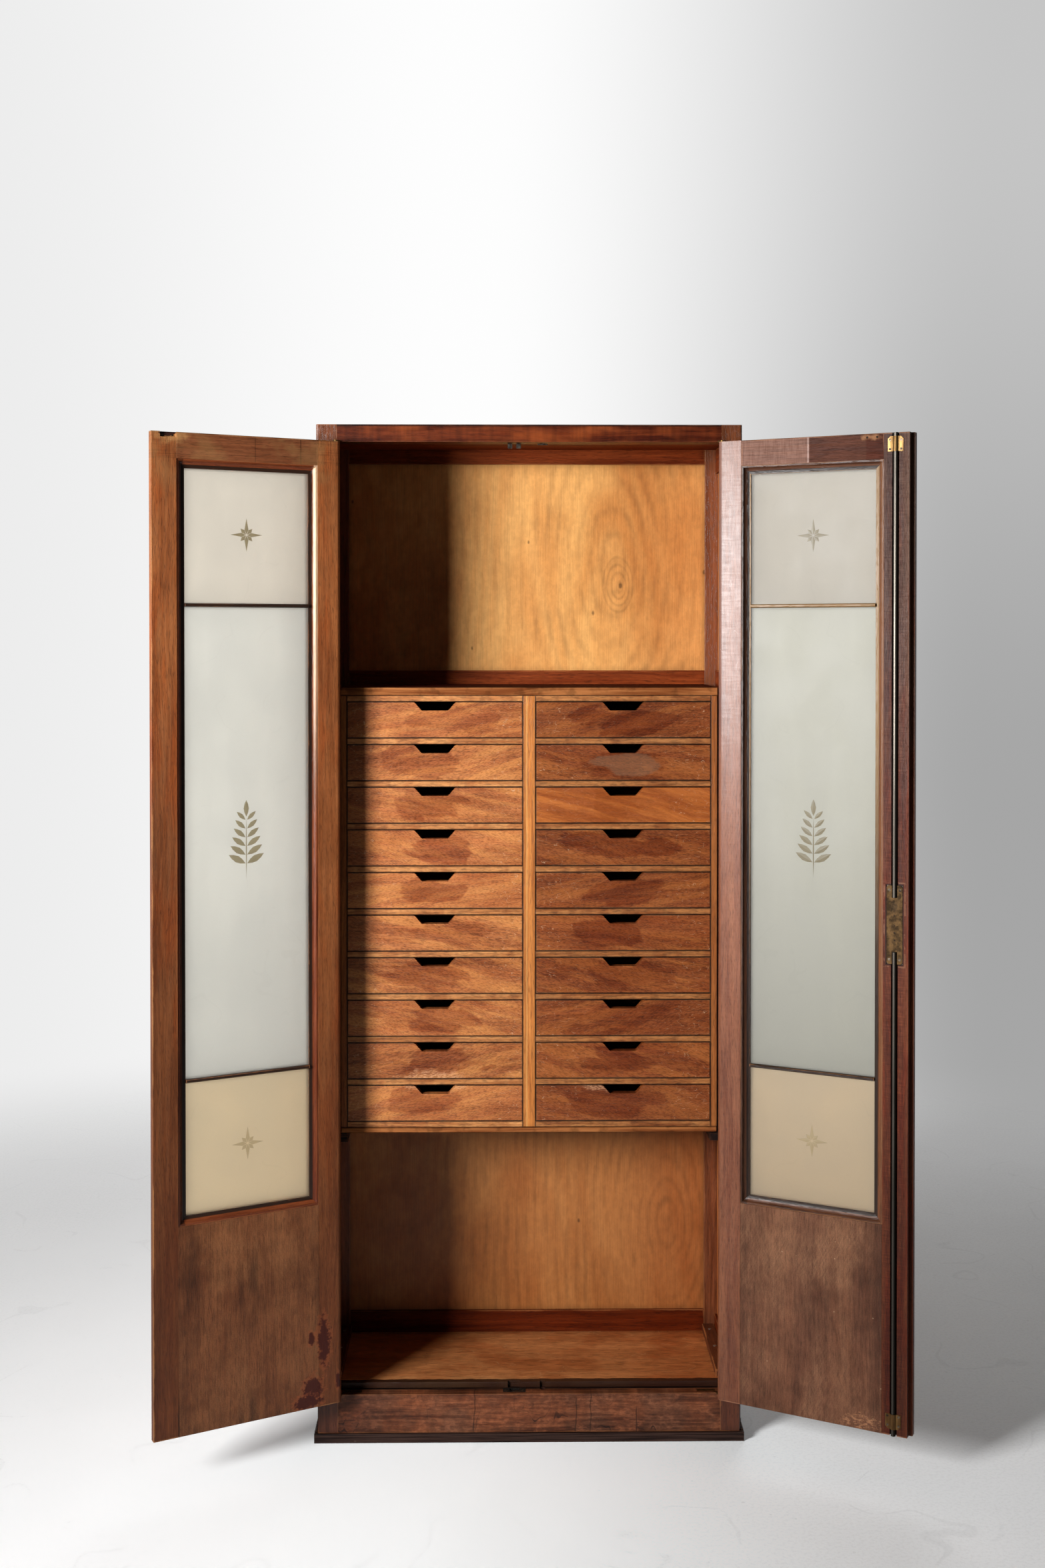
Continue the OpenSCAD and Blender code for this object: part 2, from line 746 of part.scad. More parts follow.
// Stiles of a door. The free stile of the right door laps over the left one.
module door_stiles(side) {
    color(side < 0 ? "#8a5230" : "#7d4f42") hung(side) difference() {
        union() {
            translate([0, 0, leaf_z]) linear_extrude(leaf_h) hinge_section();
            translate([0, 0, leaf_z]) linear_extrude(leaf_h)
                if (side < 0) lapped_section(); else lapping_section();
            translate([stile_w - eps, 0, glaze_z]) cube([rebate_w + eps, rebate_t, glaze_top - glaze_z]);
            translate([leaf_width - sight_x, 0, glaze_z])
                cube([rebate_w + eps, rebate_t, glaze_top - glaze_z]);
        }
        door_pivot_recesses();
        if (side < 0) catch_mortise(); else lock_recesses();
    }
}

// Sections of the stiles, seen from above.
module hinge_section() {
    polygon(concat([[0, 0], [stile_w, 0], [stile_w, door_t]],
        arc([edge_r, door_t - edge_r], edge_r, 90, 180, 8)));
}

module lapped_section() {
    cut = lap_w + meet_gap;
    x0 = leaf_width - stile_w;
    foot = lap_t + lap_gap;
    polygon([[x0, 0], [leaf_width - cut, 0], [leaf_width - cut, foot], [leaf_width, foot],
        [leaf_width, door_t], [x0, door_t]]);
}

module lapping_section() {
    x0 = leaf_width - stile_w;
    polygon([[x0, 0], [leaf_width + lap_w, 0], [leaf_width + lap_w, lap_t], [leaf_width, lap_t],
        [leaf_width, door_t], [x0, door_t]]);
}

// Recess at the top of the left door's free stile, where its catch sat.
module catch_mortise() {
    translate([leaf_width - stile_w + eps, door_t - catch_d, leaf_top - catch_h])
        cube([catch_w, catch_d + eps, catch_h + eps]);
}

// Groove, mortise and keyhole in the right door's free stile.
module lock_recesses() {
    translate([rod_x - rod_groove_w / 2, door_t - rod_groove_d, leaf_z - eps])
        cube([rod_groove_w, rod_groove_d + eps, leaf_h + 2 * eps]);
    translate([rod_x - case_w / 2 - case_play, case_y - case_play, lock_z - case_h / 2 - case_play])
        cube([case_w + 2 * case_play, case_d + cover_t + case_play + eps, case_h + 2 * case_play]);
    translate([rod_x, case_y, lock_z]) rotate([90, 0, 0]) cylinder(r = keyhole_r, h = case_y + eps);
}

// Top rail of a door, with the rebate's lip below it.
module door_head(side) {
    color(side < 0 ? "#8a5230" : "#7d4f42") hung(side) {
        translate([stile_w, 0, glaze_top]) cube([mid_w, door_t, door_head_h]);
        translate([sight_x, 0, sight_top]) cube([sight_w, rebate_t, rebate_w + eps]);
    }
}

// Wooden panel under the glazing, with the rebate's lip above it.
module door_panel(side) {
    color(side < 0 ? "#8a5230" : "#7d4f42") hung(side) {
        translate([stile_w, 0, leaf_z]) cube([mid_w, door_t, door_panel_h]);
        translate([sight_x, 0, glaze_z - eps]) cube([sight_w, rebate_t, rebate_w + eps]);
    }
}

// Section of a glazing bead: square at the frame, coved down to the pane.
function bead_profile() = concat([[0, 0], [rebate_w, 0], [rebate_w, bead_t * 0.2]],
    [for (a = [0:18:90]) [rebate_w - 2 - (rebate_w - 6) * sin(a), bead_t * (0.2 + 0.8 * (1 - cos(a)))]],
    [[0, bead_t]]);

// One stick of length l, mitred at both ends, lying along +X with its moulding towards +Z.
module bead_stick(l, gap) {
    intersection() {
        rotate([90, 0, 90]) linear_extrude(l) polygon([for (p = bead_profile()) [-p[1], p[0]]]);
        translate([0, 1, 0]) rotate([90, 0, 0]) linear_extrude(bead_t + 2)
            polygon([[gap, -eps], [l - gap, -eps], [l - rebate_w - gap, rebate_w],
                [rebate_w + gap, rebate_w]]);
    }
}

// Beads round the panes and the two glazing bars.
module door_beads(side) {
    w = mid_w;
    h = glaze_top - glaze_z;
    bar_l = sight_w - 2 * glue;
    color(side < 0 ? "#6f3a20" : "#5f3830") hung(side) {
        translate([stile_w, bead_y, glaze_z]) mirror([0, 1, 0]) {
            bead_stick(w, 0.1);
            translate([0, 0, h]) mirror([0, 0, 1]) bead_stick(w, 0.1);
            translate([w, 0, 0]) rotate([0, -90, 0]) bead_stick(h, 0.1);
            rotate([0, -90, 0]) mirror([0, 0, 1]) bead_stick(h, 0.1);
        }
        for (z = [upper_bar_z, lower_bar_z]) {
            translate([sight_x + glue, 0, z - bar_w / 2]) cube([bar_l, rebate_t, bar_w]);
            translate([sight_x + glue, 0, z - bar_web / 2]) cube([bar_l, bead_y + bead_t * 0.2, bar_web]);
            translate([sight_x + glue, bead_y, 0]) rotate([90, 0, 90]) linear_extrude(bar_l)
                polygon([[0, z - bar_w / 2], [bead_t * 0.4, z - bar_w / 2], [bead_t * 0.7, z - bar_w / 4],
                    [bead_t * 0.7, z + bar_w / 4], [bead_t * 0.4, z + bar_w / 2], [0, z + bar_w / 2]]);
        }
    }
}

// Three panes between the lip and the beads.
module door_panes(side) {
    edge = rebate_w - 2;
    x0 = sight_x - edge;
    w = sight_w + 2 * edge;
    play = bar_web / 2 + pane_play;
    color("#dcd8c4") hung(side)
        for (z = [[sight_z - edge, lower_bar_z - play], [lower_bar_z + play, upper_bar_z - play],
                  [upper_bar_z + play, sight_top + edge]])
            translate([x0, rebate_t, z[0]]) cube([w, pane_t, z[1] - z[0]]);
}

// Lock case: a tray with notches for the rods and a bearing for the pinion.
module lock_case() {
    color("#77736a") hung(RIGHT) translate([rod_x, 0, lock_z]) difference() {
        translate([-case_w / 2, case_y, -case_h / 2]) cube([case_w, case_d, case_h]);
        translate([-case_w / 2 + case_wall, cavity_y, -case_h / 2 + case_wall])
            cube([case_w - 2 * case_wall, cavity_d + eps, case_h - 2 * case_wall]);
        translate([0, case_y + case_wall / 2, 0]) rotate([90, 0, 0])
            cylinder(r = journal_r + journal_fit, h = case_wall + 2 * eps, center = true);
        translate([-rod_r - entry_play, rod_y - rod_r - entry_play, -case_h / 2 - eps])
            cube([2 * (rod_r + entry_play), case_d, case_h + 2 * eps]);
    }
}

module lock_cover() {
    w = case_w / 2;
    h = case_h / 2;
    n = rod_r + entry_play;
    top = [[w, h - cover_clip], [w - cover_clip, h], [n, h], [n, entry_z], [-n, entry_z], [-n, h],
        [cover_clip - w, h], [-w, h - cover_clip]];
    foot = [for (p = top) [-p[0], -p[1]]];
    color("#a3834c") hung(RIGHT) translate([rod_x, door_t, lock_z]) rotate([90, 0, 0])
        linear_extrude(cover_t) polygon(concat(top, foot));
}

// Involute of the pinion's base circle, as the half angle of a tooth at radius r.
function involute(a) = tan(a) * 180 / PI - a;
function tooth_half(r) = 90 / teeth - backlash / 2 / pitch_r * 90 / PI
    + involute(tooth_deg) - involute(acos(min(1, pitch_r * cos(tooth_deg) / r)));

// Pinion: an involute wheel, one tooth pointing along +X, on a journal with a square socket.
module lock_pinion() {
    base_r = pitch_r * cos(tooth_deg);
    foot_r = pitch_r - tooth_foot;
    tip_r = pitch_r + tooth_top;
    radii = [base_r, pitch_r, (pitch_r + tip_r) / 2, tip_r];
    outline = [for (i = [0:teeth - 1]) let (a = 360 * i / teeth, half = tooth_half(base_r))
        each concat([foot_r * [cos(a - half), sin(a - half)]],
            [for (r = radii) r * [cos(a - tooth_half(r)), sin(a - tooth_half(r))]],
            [for (k = [3:-1:0]) let (r = radii[k]) r * [cos(a + tooth_half(r)), sin(a + tooth_half(r))]],
            [foot_r * [cos(a + half), sin(a + half)]])];
    color("#8f8a7e") hung(RIGHT) translate([rod_x, 0, lock_z]) difference() {
        union() {
            translate([0, gear_y + pinion_t, 0]) rotate([90, 0, 0])
                linear_extrude(pinion_t) polygon(outline);
            translate([0, gear_y + eps, 0]) rotate([90, 0, 0]) cylinder(r = journal_r, h = gear_y - case_y);
        }
        translate([-key_w / 2, case_y - 1, -key_w / 2]) cube([key_w, gear_y - case_y + pinion_t - 1, key_w]);
    }
}

// Rack teeth along +Z, the pitch line on x = 0, teeth towards +X, a tooth centred on each z of "at".
module rack_teeth(at) {
    p = PI * tooth_m;
    half = p / 4 - backlash / 2;
    foot = half + tooth_foot * tan(tooth_deg);
    tip = half - tooth_top * tan(tooth_deg);
    for (z = at) translate([0, rack_y + rack_t, z]) rotate([90, 0, 0]) linear_extrude(rack_t)
        polygon([[-tooth_foot - eps, -foot], [-tooth_foot, -foot], [tooth_top, -tip], [tooth_top, tip],
            [-tooth_foot, foot], [-tooth_foot - eps, foot]]);
}

// A rod with its rack, for the upper side: the rack stands on the hinge side of the pinion.
// "at" gives the heights of the teeth, "l" is the rod's reach from the lock's middle.
module rod_with_rack(at, l) {
    back = -pitch_r - tooth_foot;
    foot_z = min(at) - PI * tooth_m / 2;
    end_z = entry_z + entry_play;
    translate([-pitch_r, 0, 0]) rack_teeth(at);
    translate([back - rack_w, rack_y, foot_z]) cube([rack_w, rack_t, end_z + link_h - foot_z]);
    translate([back - rack_w, rack_y, end_z])
        cube([rod_r - back + rack_w - 1, door_t - cover_t - case_play - rack_y, link_h]);
    translate([0, rod_y, end_z]) cylinder(r = rod_r, h = l - end_z);
}

module upper_rod() {
    p = PI * tooth_m;
    at = [for (i = [-ceil(rack_over / p):2]) i * p];
    color("#8d8b88") hung(RIGHT) translate([rod_x, 0, lock_z]) rod_with_rack(at, leaf_top - lock_z);
}

module lower_rod() {
    p = PI * tooth_m;
    at = [for (i = [-ceil(rack_over / p):2]) (i + 0.5) * p];
    color("#8d8b88") hung(RIGHT) translate([rod_x, 0, lock_z])
        mirror([1, 0, 0]) mirror([0, 0, 1]) rod_with_rack(at, lock_z - leaf_z);
}

// A strap over the rod with two screwed wings; "flip" turns its clipped corners down.
module rod_guide(flip) {
    w = guide_w / 2;
    in_r = rod_r + guide_play;
    out_r = in_r + guide_t;
    h = guide_l;
    wing = [[in_r, 0], [w, 0], [w, h - guide_clip], [w - guide_clip, h], [in_r, h]];
    mirror([0, 0, flip ? 1 : 0]) {
        for (s = SIDES) mirror([s < 0 ? 1 : 0, 0, 0]) translate([0, door_t + guide_t, 0]) rotate([90, 0, 0])
            linear_extrude(guide_t) polygon(wing);
        translate([0, rod_y, 0]) intersection() {
            difference() {
                cylinder(r = out_r, h = h);
                translate([0, 0, -eps]) cylinder(r = in_r, h = h + 2 * eps);
            }
            translate([-out_r, rod_sink, 0]) cube([2 * out_r, out_r, h]);
        }
    }
}

module rod_guides() {
    color("#b08a45") hung(RIGHT) translate([rod_x, 0, 0]) {
        translate([0, 0, leaf_top - upper_guide_in - guide_l]) rod_guide(false);
        translate([0, 0, leaf_z + lower_guide_in + guide_l]) rod_guide(true);
    }
}

posts();
head_rail();
top_board();
side_rails();
side_panels();
back_rails();
back_panels();
floor_board();
sill();
plinth_board();
base_strips();
side_coves();
floor_battens();
bearers();
keepers();
fixed_pivots();
nest_uprights();
nest_boards();
nest_rails();
nest_runners();
nest_back();
door_stiles(LEFT);  // left_stiles
door_head(LEFT);  // left_head
door_panel(LEFT);  // left_panel
door_beads(LEFT);  // left_beads
door_panes(LEFT);  // left_panes
door_pivots(LEFT);  // left_pivots
door_stiles(RIGHT);  // right_stiles
door_head(RIGHT);  // right_head
door_panel(RIGHT);  // right_panel
door_beads(RIGHT);  // right_beads
door_panes(RIGHT);  // right_panes
door_pivots(RIGHT);  // right_pivots
lock_case();
lock_cover();
lock_pinion();
upper_rod();
lower_rod();
rod_guides();
for (s = SIDES, r = [1:rows])
    drawer(s, r);
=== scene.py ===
"""The looks of a card file cabinet: frame-and-panel work with two glazed doors standing open,
a nest of twenty card drawers and a rod lock on the right door. Metres, in the frame of the model:
+Z up, the front faces -Y, +X to the right."""

import json
import math
import random

import bmesh
import bpy
from mathutils import Matrix, Vector

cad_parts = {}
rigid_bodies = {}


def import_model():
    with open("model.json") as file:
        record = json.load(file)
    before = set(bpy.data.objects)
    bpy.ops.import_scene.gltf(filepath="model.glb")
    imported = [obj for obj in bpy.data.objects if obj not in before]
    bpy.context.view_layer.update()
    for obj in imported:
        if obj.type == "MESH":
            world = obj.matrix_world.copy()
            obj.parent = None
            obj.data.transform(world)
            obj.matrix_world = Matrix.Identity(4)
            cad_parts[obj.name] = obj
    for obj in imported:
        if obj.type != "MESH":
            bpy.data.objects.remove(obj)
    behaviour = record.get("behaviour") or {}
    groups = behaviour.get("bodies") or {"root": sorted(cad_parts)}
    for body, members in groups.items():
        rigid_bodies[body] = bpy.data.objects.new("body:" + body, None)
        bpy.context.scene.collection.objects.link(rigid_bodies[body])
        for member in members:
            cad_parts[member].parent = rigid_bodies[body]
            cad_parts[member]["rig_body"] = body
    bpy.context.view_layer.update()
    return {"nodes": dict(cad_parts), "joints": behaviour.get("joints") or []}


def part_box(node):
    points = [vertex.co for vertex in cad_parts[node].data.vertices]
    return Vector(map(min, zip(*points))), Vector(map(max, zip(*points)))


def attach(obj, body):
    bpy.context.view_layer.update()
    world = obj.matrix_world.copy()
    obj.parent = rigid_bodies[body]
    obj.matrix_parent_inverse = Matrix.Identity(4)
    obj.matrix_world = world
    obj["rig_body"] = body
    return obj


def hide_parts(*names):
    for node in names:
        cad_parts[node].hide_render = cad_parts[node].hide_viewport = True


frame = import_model()
nodes = frame["nodes"]
scene = bpy.context.scene
LEFT, RIGHT = -1, 1
MM = 0.001
UP = Vector((0, 0, 1))


# Places

hinge = next(j for j in frame["joints"] if j["name"] == "right_door_hinge")
PIVOT_X, PIVOT_Y = hinge["pos_m"][:2]
OPEN = math.radians(-hinge["range_deg"][0])


def swing(side, point, angle):
    """Turns a point about a door's pivot."""
    pivot = Vector((side * PIVOT_X, PIVOT_Y, 0))
    return Matrix.Rotation(side * angle, 3, "Z") @ (Vector(point) - pivot) + pivot


HANG_X = max(swing(RIGHT, v.co, -OPEN).x for v in nodes["right_stiles"].data.vertices)


def reach(points):
    """The least and the largest coordinates of some points."""
    return [Vector(f(p[i] for p in points) for i in range(3)) for f in (min, max)]


def on_leaf(side):
    """Place on a door: x from the hanging edge, y from the outer face, z above the floor."""

    def place(point):
        closed = swing(side, point, -OPEN)
        return Vector((HANG_X - side * closed.x, closed.y, closed.z))

    return place


def leaf_point(side, x, y, z):
    """Where a place on a door lies while the door stands open."""
    return swing(side, (side * (HANG_X - x), y, z), OPEN)


def leaf_out(side):
    """The way that the inner face of an open door looks."""
    return leaf_point(side, 0, 1, 0) - leaf_point(side, 0, 0, 0)


def leaf_box(side, node):
    """Lowest and highest place of a node on its door."""
    place = on_leaf(side)
    return reach([place(v.co) for v in nodes[node].data.vertices])


LEAF_LO, LEAF_HI = leaf_box(LEFT, "left_stiles")
LEAF_W = LEAF_HI.x
DOOR_T = LEAF_HI.y
PANE_Y = leaf_box(LEFT, "left_panes")[1].y
COVER_LO, COVER_HI = leaf_box(RIGHT, "lock_cover")
GUIDE_LO, GUIDE_HI = leaf_box(RIGHT, "rod_guides")
ROD_X = (COVER_LO.x + COVER_HI.x) / 2
STILE_W = leaf_box(LEFT, "left_panel")[0].x
BEAD_LO, BEAD_HI = leaf_box(LEFT, "left_beads")
BEAD_W = Vector((17 * MM, 0, 17 * MM))
SIGHT_LO, SIGHT_HI = BEAD_LO + BEAD_W, BEAD_HI - BEAD_W  # the opening inside the beads
BAR_LOW, BAR_TOP = 0.756, 1.6468  # heights of the glazing bars
FREE_STILE = LEAF_W - STILE_W  # where the stile of the free edge begins
NEST_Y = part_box("nest_rails")[0].y
DRAWER_FRONT_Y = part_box("drawer_left_01")[0].y
CAB_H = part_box("posts")[1].z
HALF_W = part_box("posts")[1].x
FLOOR_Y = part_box("floor_board")[0].y


# Shader graphs


def tone(red, green, blue):
    """A colour as read from a screen, in the linear values that a shader takes."""
    return tuple((max(c, 11) / 255 / 1.055 + 0.0521) ** 2.4 for c in (red, green, blue)) + (1.0,)


class Graph:
    """Adds nodes to one node tree. A value is a number, a tuple or another node's socket."""

    def __init__(self, tree):
        self.tree = tree

    def feed(self, socket, value):
        """Links a socket to a value's socket, or sets its number."""
        if isinstance(value, bpy.types.NodeSocket):
            self.tree.links.new(value, socket)
        else:
            socket.default_value = value

    def node(self, kind, settings=None, **values):
        """A new node with its settings made and its named inputs fed."""
        made = self.tree.nodes.new(kind)
        for key, value in (settings or {}).items():
            setattr(made, key, value)
        for key, value in values.items():
            self.feed(made.inputs[key.replace("_", " ")], value)
        return made

    def math(self, operation, *values, clamp=False):
        """Arithmetic on numbers."""
        made = self.node("ShaderNodeMath", {"operation": operation, "use_clamp": clamp})
        for socket, value in zip(made.inputs, values):
            self.feed(socket, value)
        return made.outputs[0]

    def chain(self, operation, first, *others):
        """The same operation again and again, from left to right."""
        for value in others:
            first = self.math(operation, first, value)
        return first

    def plus(self, *values):
        """Their sum."""
        return self.chain("ADD", *values)

    def times(self, *values):
        """Their product."""
        return self.chain("MULTIPLY", *values)

    def most(self, *values):
        """The largest of them."""
        return self.chain("MAXIMUM", *values)

    def least(self, first, second):
        """The smaller of two."""
        return self.math("MINIMUM", first, second)

    def minus(self, first, second):
        """The first less the second."""
        return self.math("SUBTRACT", first, second)

    def over(self, first, second):
        """The first divided by the second."""
        return self.math("DIVIDE", first, second)

    def away(self, value):
        """How far a value is from zero."""
        return self.math("ABSOLUTE", value)

    def sway(self, noise, amount):
        """A noise about its middle, times an amount."""
        return self.times(self.minus(noise, 0.5), amount)

    def vector(self, operation, *values):
        """Arithmetic on vectors. What it gives is a number for a length, a distance or a dot product."""
        made = self.node("ShaderNodeVectorMath", {"operation": operation})
        for socket, value in zip(made.inputs, values):
            self.feed(socket, value)
        return made.outputs[1 if operation in ("LENGTH", "DISTANCE", "DOT_PRODUCT") else 0]

    def scaled(self, colour, factor):
        """A colour or a vector times one number."""
        made = self.node("ShaderNodeVectorMath", {"operation": "SCALE"}, Scale=factor)
        self.feed(made.inputs[0], colour[:3] if isinstance(colour, tuple) else colour)
        return made.outputs[0]

    def parts(self, vector):
        """The x, y and z of a vector."""
        return self.node("ShaderNodeSeparateXYZ", Vector=vector).outputs[:3]

    def joined(self, x, y, z):
        """A vector of three numbers."""
        return self.node("ShaderNodeCombineXYZ", X=x, Y=y, Z=z).outputs[0]

    def step(self, value, low, high, start=0.0, end=1.0):
        """Goes softly from start to end as a value rises from low to high."""
        return self.node(
            "ShaderNodeMapRange",
            {"interpolation_type": "SMOOTHSTEP"},
            Value=value,
            From_Min=low,
            From_Max=high,
            To_Min=start,
            To_Max=end,
        ).outputs[0]

    def mix(self, share, first, second, blend="MIX"):
        """Colour that goes from the first to the second as the share rises."""
        made = self.node("ShaderNodeMix", {"data_type": "RGBA", "blend_type": blend})
        for number, value in ((0, share), (6, first), (7, second)):
            self.feed(made.inputs[number], value)
        return made.outputs[2]

    def noise(self, vector, scale=1.0, detail=2.0, rough=0.5):
        """Smooth noise about 0.5."""
        return self.node(
            "ShaderNodeTexNoise", Vector=vector, Scale=scale, Detail=detail, Roughness=rough
        ).outputs[0]

    def stretch(self, vector, x, y, z):
        """A vector with each part times a number of its own."""
        return self.vector("MULTIPLY", vector, (x, y, z))

    def cloud(self, vector, size, detail, rough, low, high, start=0.0, end=1.0):
        """Noise stretched by a size, softly from start to end between two of its levels."""
        return self.step(self.noise(self.stretch(vector, *size), 1, detail, rough), low, high, start, end)

    def patches(self, place, scale, low, high):
        """Soft-edged patches of an even scale."""
        return self.step(self.noise(place, scale, 3, 0.6), low, high)

    def attribute(self, name):
        """What a mesh stores on its corners under a name."""
        return self.node("ShaderNodeAttribute", {"attribute_name": name}).outputs

    def line(self, value, at, width):
        """1 on a thin line where a value is near "at"."""
        away = self.away(self.minus(value, at))
        return self.step(away, width * 0.4, width, 1.0, 0.0)

    def use(self, tree, **values):
        """Places a shader group and gives its outputs."""
        made = self.node("ShaderNodeGroup", {"node_tree": tree}, **values)
        return made.outputs

    def darker(self, colour, mask, amount):
        """Takes an amount of light off the colour where the mask is high."""
        return self.scaled(colour, self.minus(1.0, self.times(mask, amount)))

    def paint(self, colour, mask, share, paint):
        """Covers the colour with a paint where the mask is high."""
        return self.mix(self.times(mask, share), colour, paint)

    def stain(self, colour, mask, share, stain):
        """Lays a see-through stain over the colour, so that the grain stays."""
        return self.paint(colour, mask, share, self.mix(1.0, colour, stain, "MULTIPLY"))

    def coat(self, weight):
        """Polish over the whole surface, in a weight that changes from place to place."""
        self.feed(self.tree.nodes["Principled BSDF"].inputs["Coat Weight"], weight)

    def finish(self, colour, rough, relief, strength, depth):
        """Feeds the Principled shader with colour, roughness and a relief of some depth."""
        shader = self.tree.nodes["Principled BSDF"].inputs
        self.feed(shader["Base Color"], colour)
        self.feed(shader["Roughness"], rough)
        bump = self.node("ShaderNodeBump", Strength=strength, Distance=depth, Height=relief)
        self.feed(shader["Normal"], bump.outputs[0])


SOCKETS = {"value": "NodeSocketFloat", "vector": "NodeSocketVector", "colour": "NodeSocketColor"}


def new_group(name, inputs, outputs):
    """An empty shader group with named sockets: its tree, its graph, what goes in and what comes out."""
    tree = bpy.data.node_groups.new(name, "ShaderNodeTree")
    for label, (kind, default) in inputs.items():
        socket = tree.interface.new_socket(label, in_out="INPUT", socket_type=SOCKETS[kind])
        socket.default_value = default
    for label, kind in outputs.items():
        tree.interface.new_socket(label, in_out="OUTPUT", socket_type=SOCKETS[kind])
    graph = Graph(tree)
    source = tree.nodes.new("NodeGroupInput").outputs
    result = tree.nodes.new("NodeGroupOutput").inputs
    return tree, graph, source, result


def give(g, result, **values):
    """Feeds what a group puts out."""
    for label, value in values.items():
        g.feed(result[label], value)


def make_grain_group():
    """Grain of sawn wood that runs along x: broad bands, streaks, fibres, pores and their relief."""
    tree, g, source, result = new_group(
        "wood_grain",
        {"Position": ("vector", (0, 0, 0)), "Fineness": ("value", 1.0), "Wave": ("value", 0.5)},
        {"Bands": "value", "Streaks": "value", "Fibres": "value", "Pores": "value", "Relief": "value"},
    )
    position = source["Position"]
    drift = g.noise(g.stretch(position, 2.2, 7, 7), 1, 1.5)
    bend = g.sway(drift, g.times(source["Wave"], 0.06))
    bent = g.vector("ADD", position, g.joined(0.0, bend, bend))
    fine = g.scaled(bent, source["Fineness"])
    bands = g.cloud(fine, (1.3, 20, 20), 3, 0.6, 0.36, 0.64)
    streaks = g.cloud(fine, (4, 115, 115), 3, 0.62, 0.36, 0.66)
    fibres = g.cloud(fine, (14, 270, 270), 3, 0.7, 0.34, 0.66)
    pores = g.cloud(fine, (55, 760, 760), 1, 0.5, 0.56, 0.68)
    relief = g.minus(g.times(fibres, 0.6), pores)
    give(g, result, Bands=bands, Streaks=streaks, Fibres=fibres, Pores=pores, Relief=relief)
    return tree


def make_peeled_group():
    """Figure of rotary-cut plywood along x: nested arches, fine fibres and soft clouds."""
    tree, g, source, result = new_group(
        "plywood_figure",
        {"Position": ("vector", (0, 0, 0)), "Rings": ("value", 16.0)},
        {"Arches": "value", "Fibres": "value", "Clouds": "value"},
    )
    position = source["Position"]
    field = g.noise(g.stretch(position, 1.1, 3.6, 3.6), 1, 1.2, 0.4)
    fine = g.noise(g.stretch(position, 9, 90, 90), 1, 2)
    rings = g.times(g.plus(field, g.times(fine, 0.02)), source["Rings"])
    arches = g.step(g.math("PINGPONG", rings, 0.5), 0.05, 0.45)
    fibres = g.cloud(position, (14, 360, 360), 2, 0.6, 0.3, 0.7)
    clouds = g.cloud(position, (3, 9, 9), 2, 0.5, 0.3, 0.7)
    give(g, result, Arches=arches, Fibres=fibres, Clouds=clouds)
    return tree


def make_arris_group():
    """Wear along the arrises of a board from its distances to the board's faces; darker near its edges with
    dirt and painted shade, and a thin line of painted shade with dirt in the gaps at its edges.
    """
    tree, g, source, result = new_group(
        "arris_wear",
        {
            "Low": ("vector", (0, 0, 0)),
            "High": ("vector", (0, 0, 0)),
            "Position": ("vector", (0, 0, 0)),
            "Width": ("value", 0.002),
        },
        {"Worn": "value", "Shaded": "value", "Seam": "value"},
    )
    a, b, c = g.parts(g.vector("MINIMUM", source["Low"], source["High"]))
    middle = g.most(g.least(a, b), g.least(g.most(a, b), c))
    ragged = g.noise(source["Position"], 90, 3, 0.65)
    patchy = g.step(g.noise(source["Position"], 11, 2), 0.36, 0.6)
    wide = g.times(source["Width"], g.plus(0.35, g.times(patchy, 1.5)))
    bitten = g.plus(middle, g.sway(ragged, wide))
    worn = g.times(g.step(g.over(bitten, wide), 0.5, 1.0, 1.0, 0.0), g.plus(0.4, g.times(patchy, 0.6)))
    # Darker near the board's edges: dirt and painted shade.
    shaded = g.step(middle, 0.0, 0.02, 1.0, 0.0)
    # A thin dark line at the board's edges: painted shade of the gap between boards, with dirt in it.
    gap_dirt_and_shade = g.step(g.plus(middle, g.times(ragged, 0.8 * MM)), 0.9 * MM, 2.4 * MM, 1.0, 0.0)
    give(g, result, Worn=worn, Shaded=shaded, Seam=gap_dirt_and_shade)
    return tree


def make_spot_group():
    """A soft or ragged spot round a centre."""
    tree, g, source, result = new_group(
        "spot",
        {
            "Position": ("vector", (0, 0, 0)),
            "Centre": ("vector", (0, 0, 0)),
            "Size": ("vector", (0.01, 0.01, 0.01)),
            "Ragged": ("value", 0.5),
            "Soft": ("value", 0.4),
            "Bite": ("value", 60.0),
        },
        {"Mask": "value"},
    )
    away = g.vector("DIVIDE", g.vector("SUBTRACT", source["Position"], source["Centre"]), source["Size"])
    noise = g.noise(source["Position"], source["Bite"], 3, 0.6)
    distance = g.plus(g.vector("LENGTH", away), g.sway(noise, source["Ragged"]))
    start = g.minus(1.0, source["Soft"])
    share = g.over(g.minus(distance, start), source["Soft"])
    give(g, result, Mask=g.step(share, 0.0, 1.0, 1.0, 0.0))
    return tree


def make_scuff_group():
    """Thin curved scratches and small pecks."""
    tree, g, source, result = new_group(
        "scuffs",
        {"Position": ("vector", (0, 0, 0)), "Scale": ("value", 9.0), "Amount": ("value", 0.5)},
        {"Scratches": "value", "Pecks": "value"},
    )
    position = source["Position"]
    scaled = g.scaled(position, source["Scale"])
    contour = g.away(g.minus(g.noise(scaled, 1, 2, 0.4), 0.5))
    thin = g.step(contour, 0.002, 0.006, 1.0, 0.0)
    gate = g.minus(0.72, g.times(source["Amount"], 0.25))
    broken = g.step(g.noise(g.vector("ADD", scaled, (5.2, 1.3, 8.7)), 2.1, 3), gate, g.plus(gate, 0.05))
    cells = g.node("ShaderNodeTexVoronoi", {"feature": "F1"}, Vector=position, Scale=42.0)
    dots = g.step(cells.outputs["Distance"], 0.05, 0.09, 1.0, 0.0)
    some = g.step(g.parts(cells.outputs["Color"])[0], 0.8, 0.82)
    give(g, result, Scratches=g.times(thin, broken), Pecks=g.times(dots, some))
    return tree


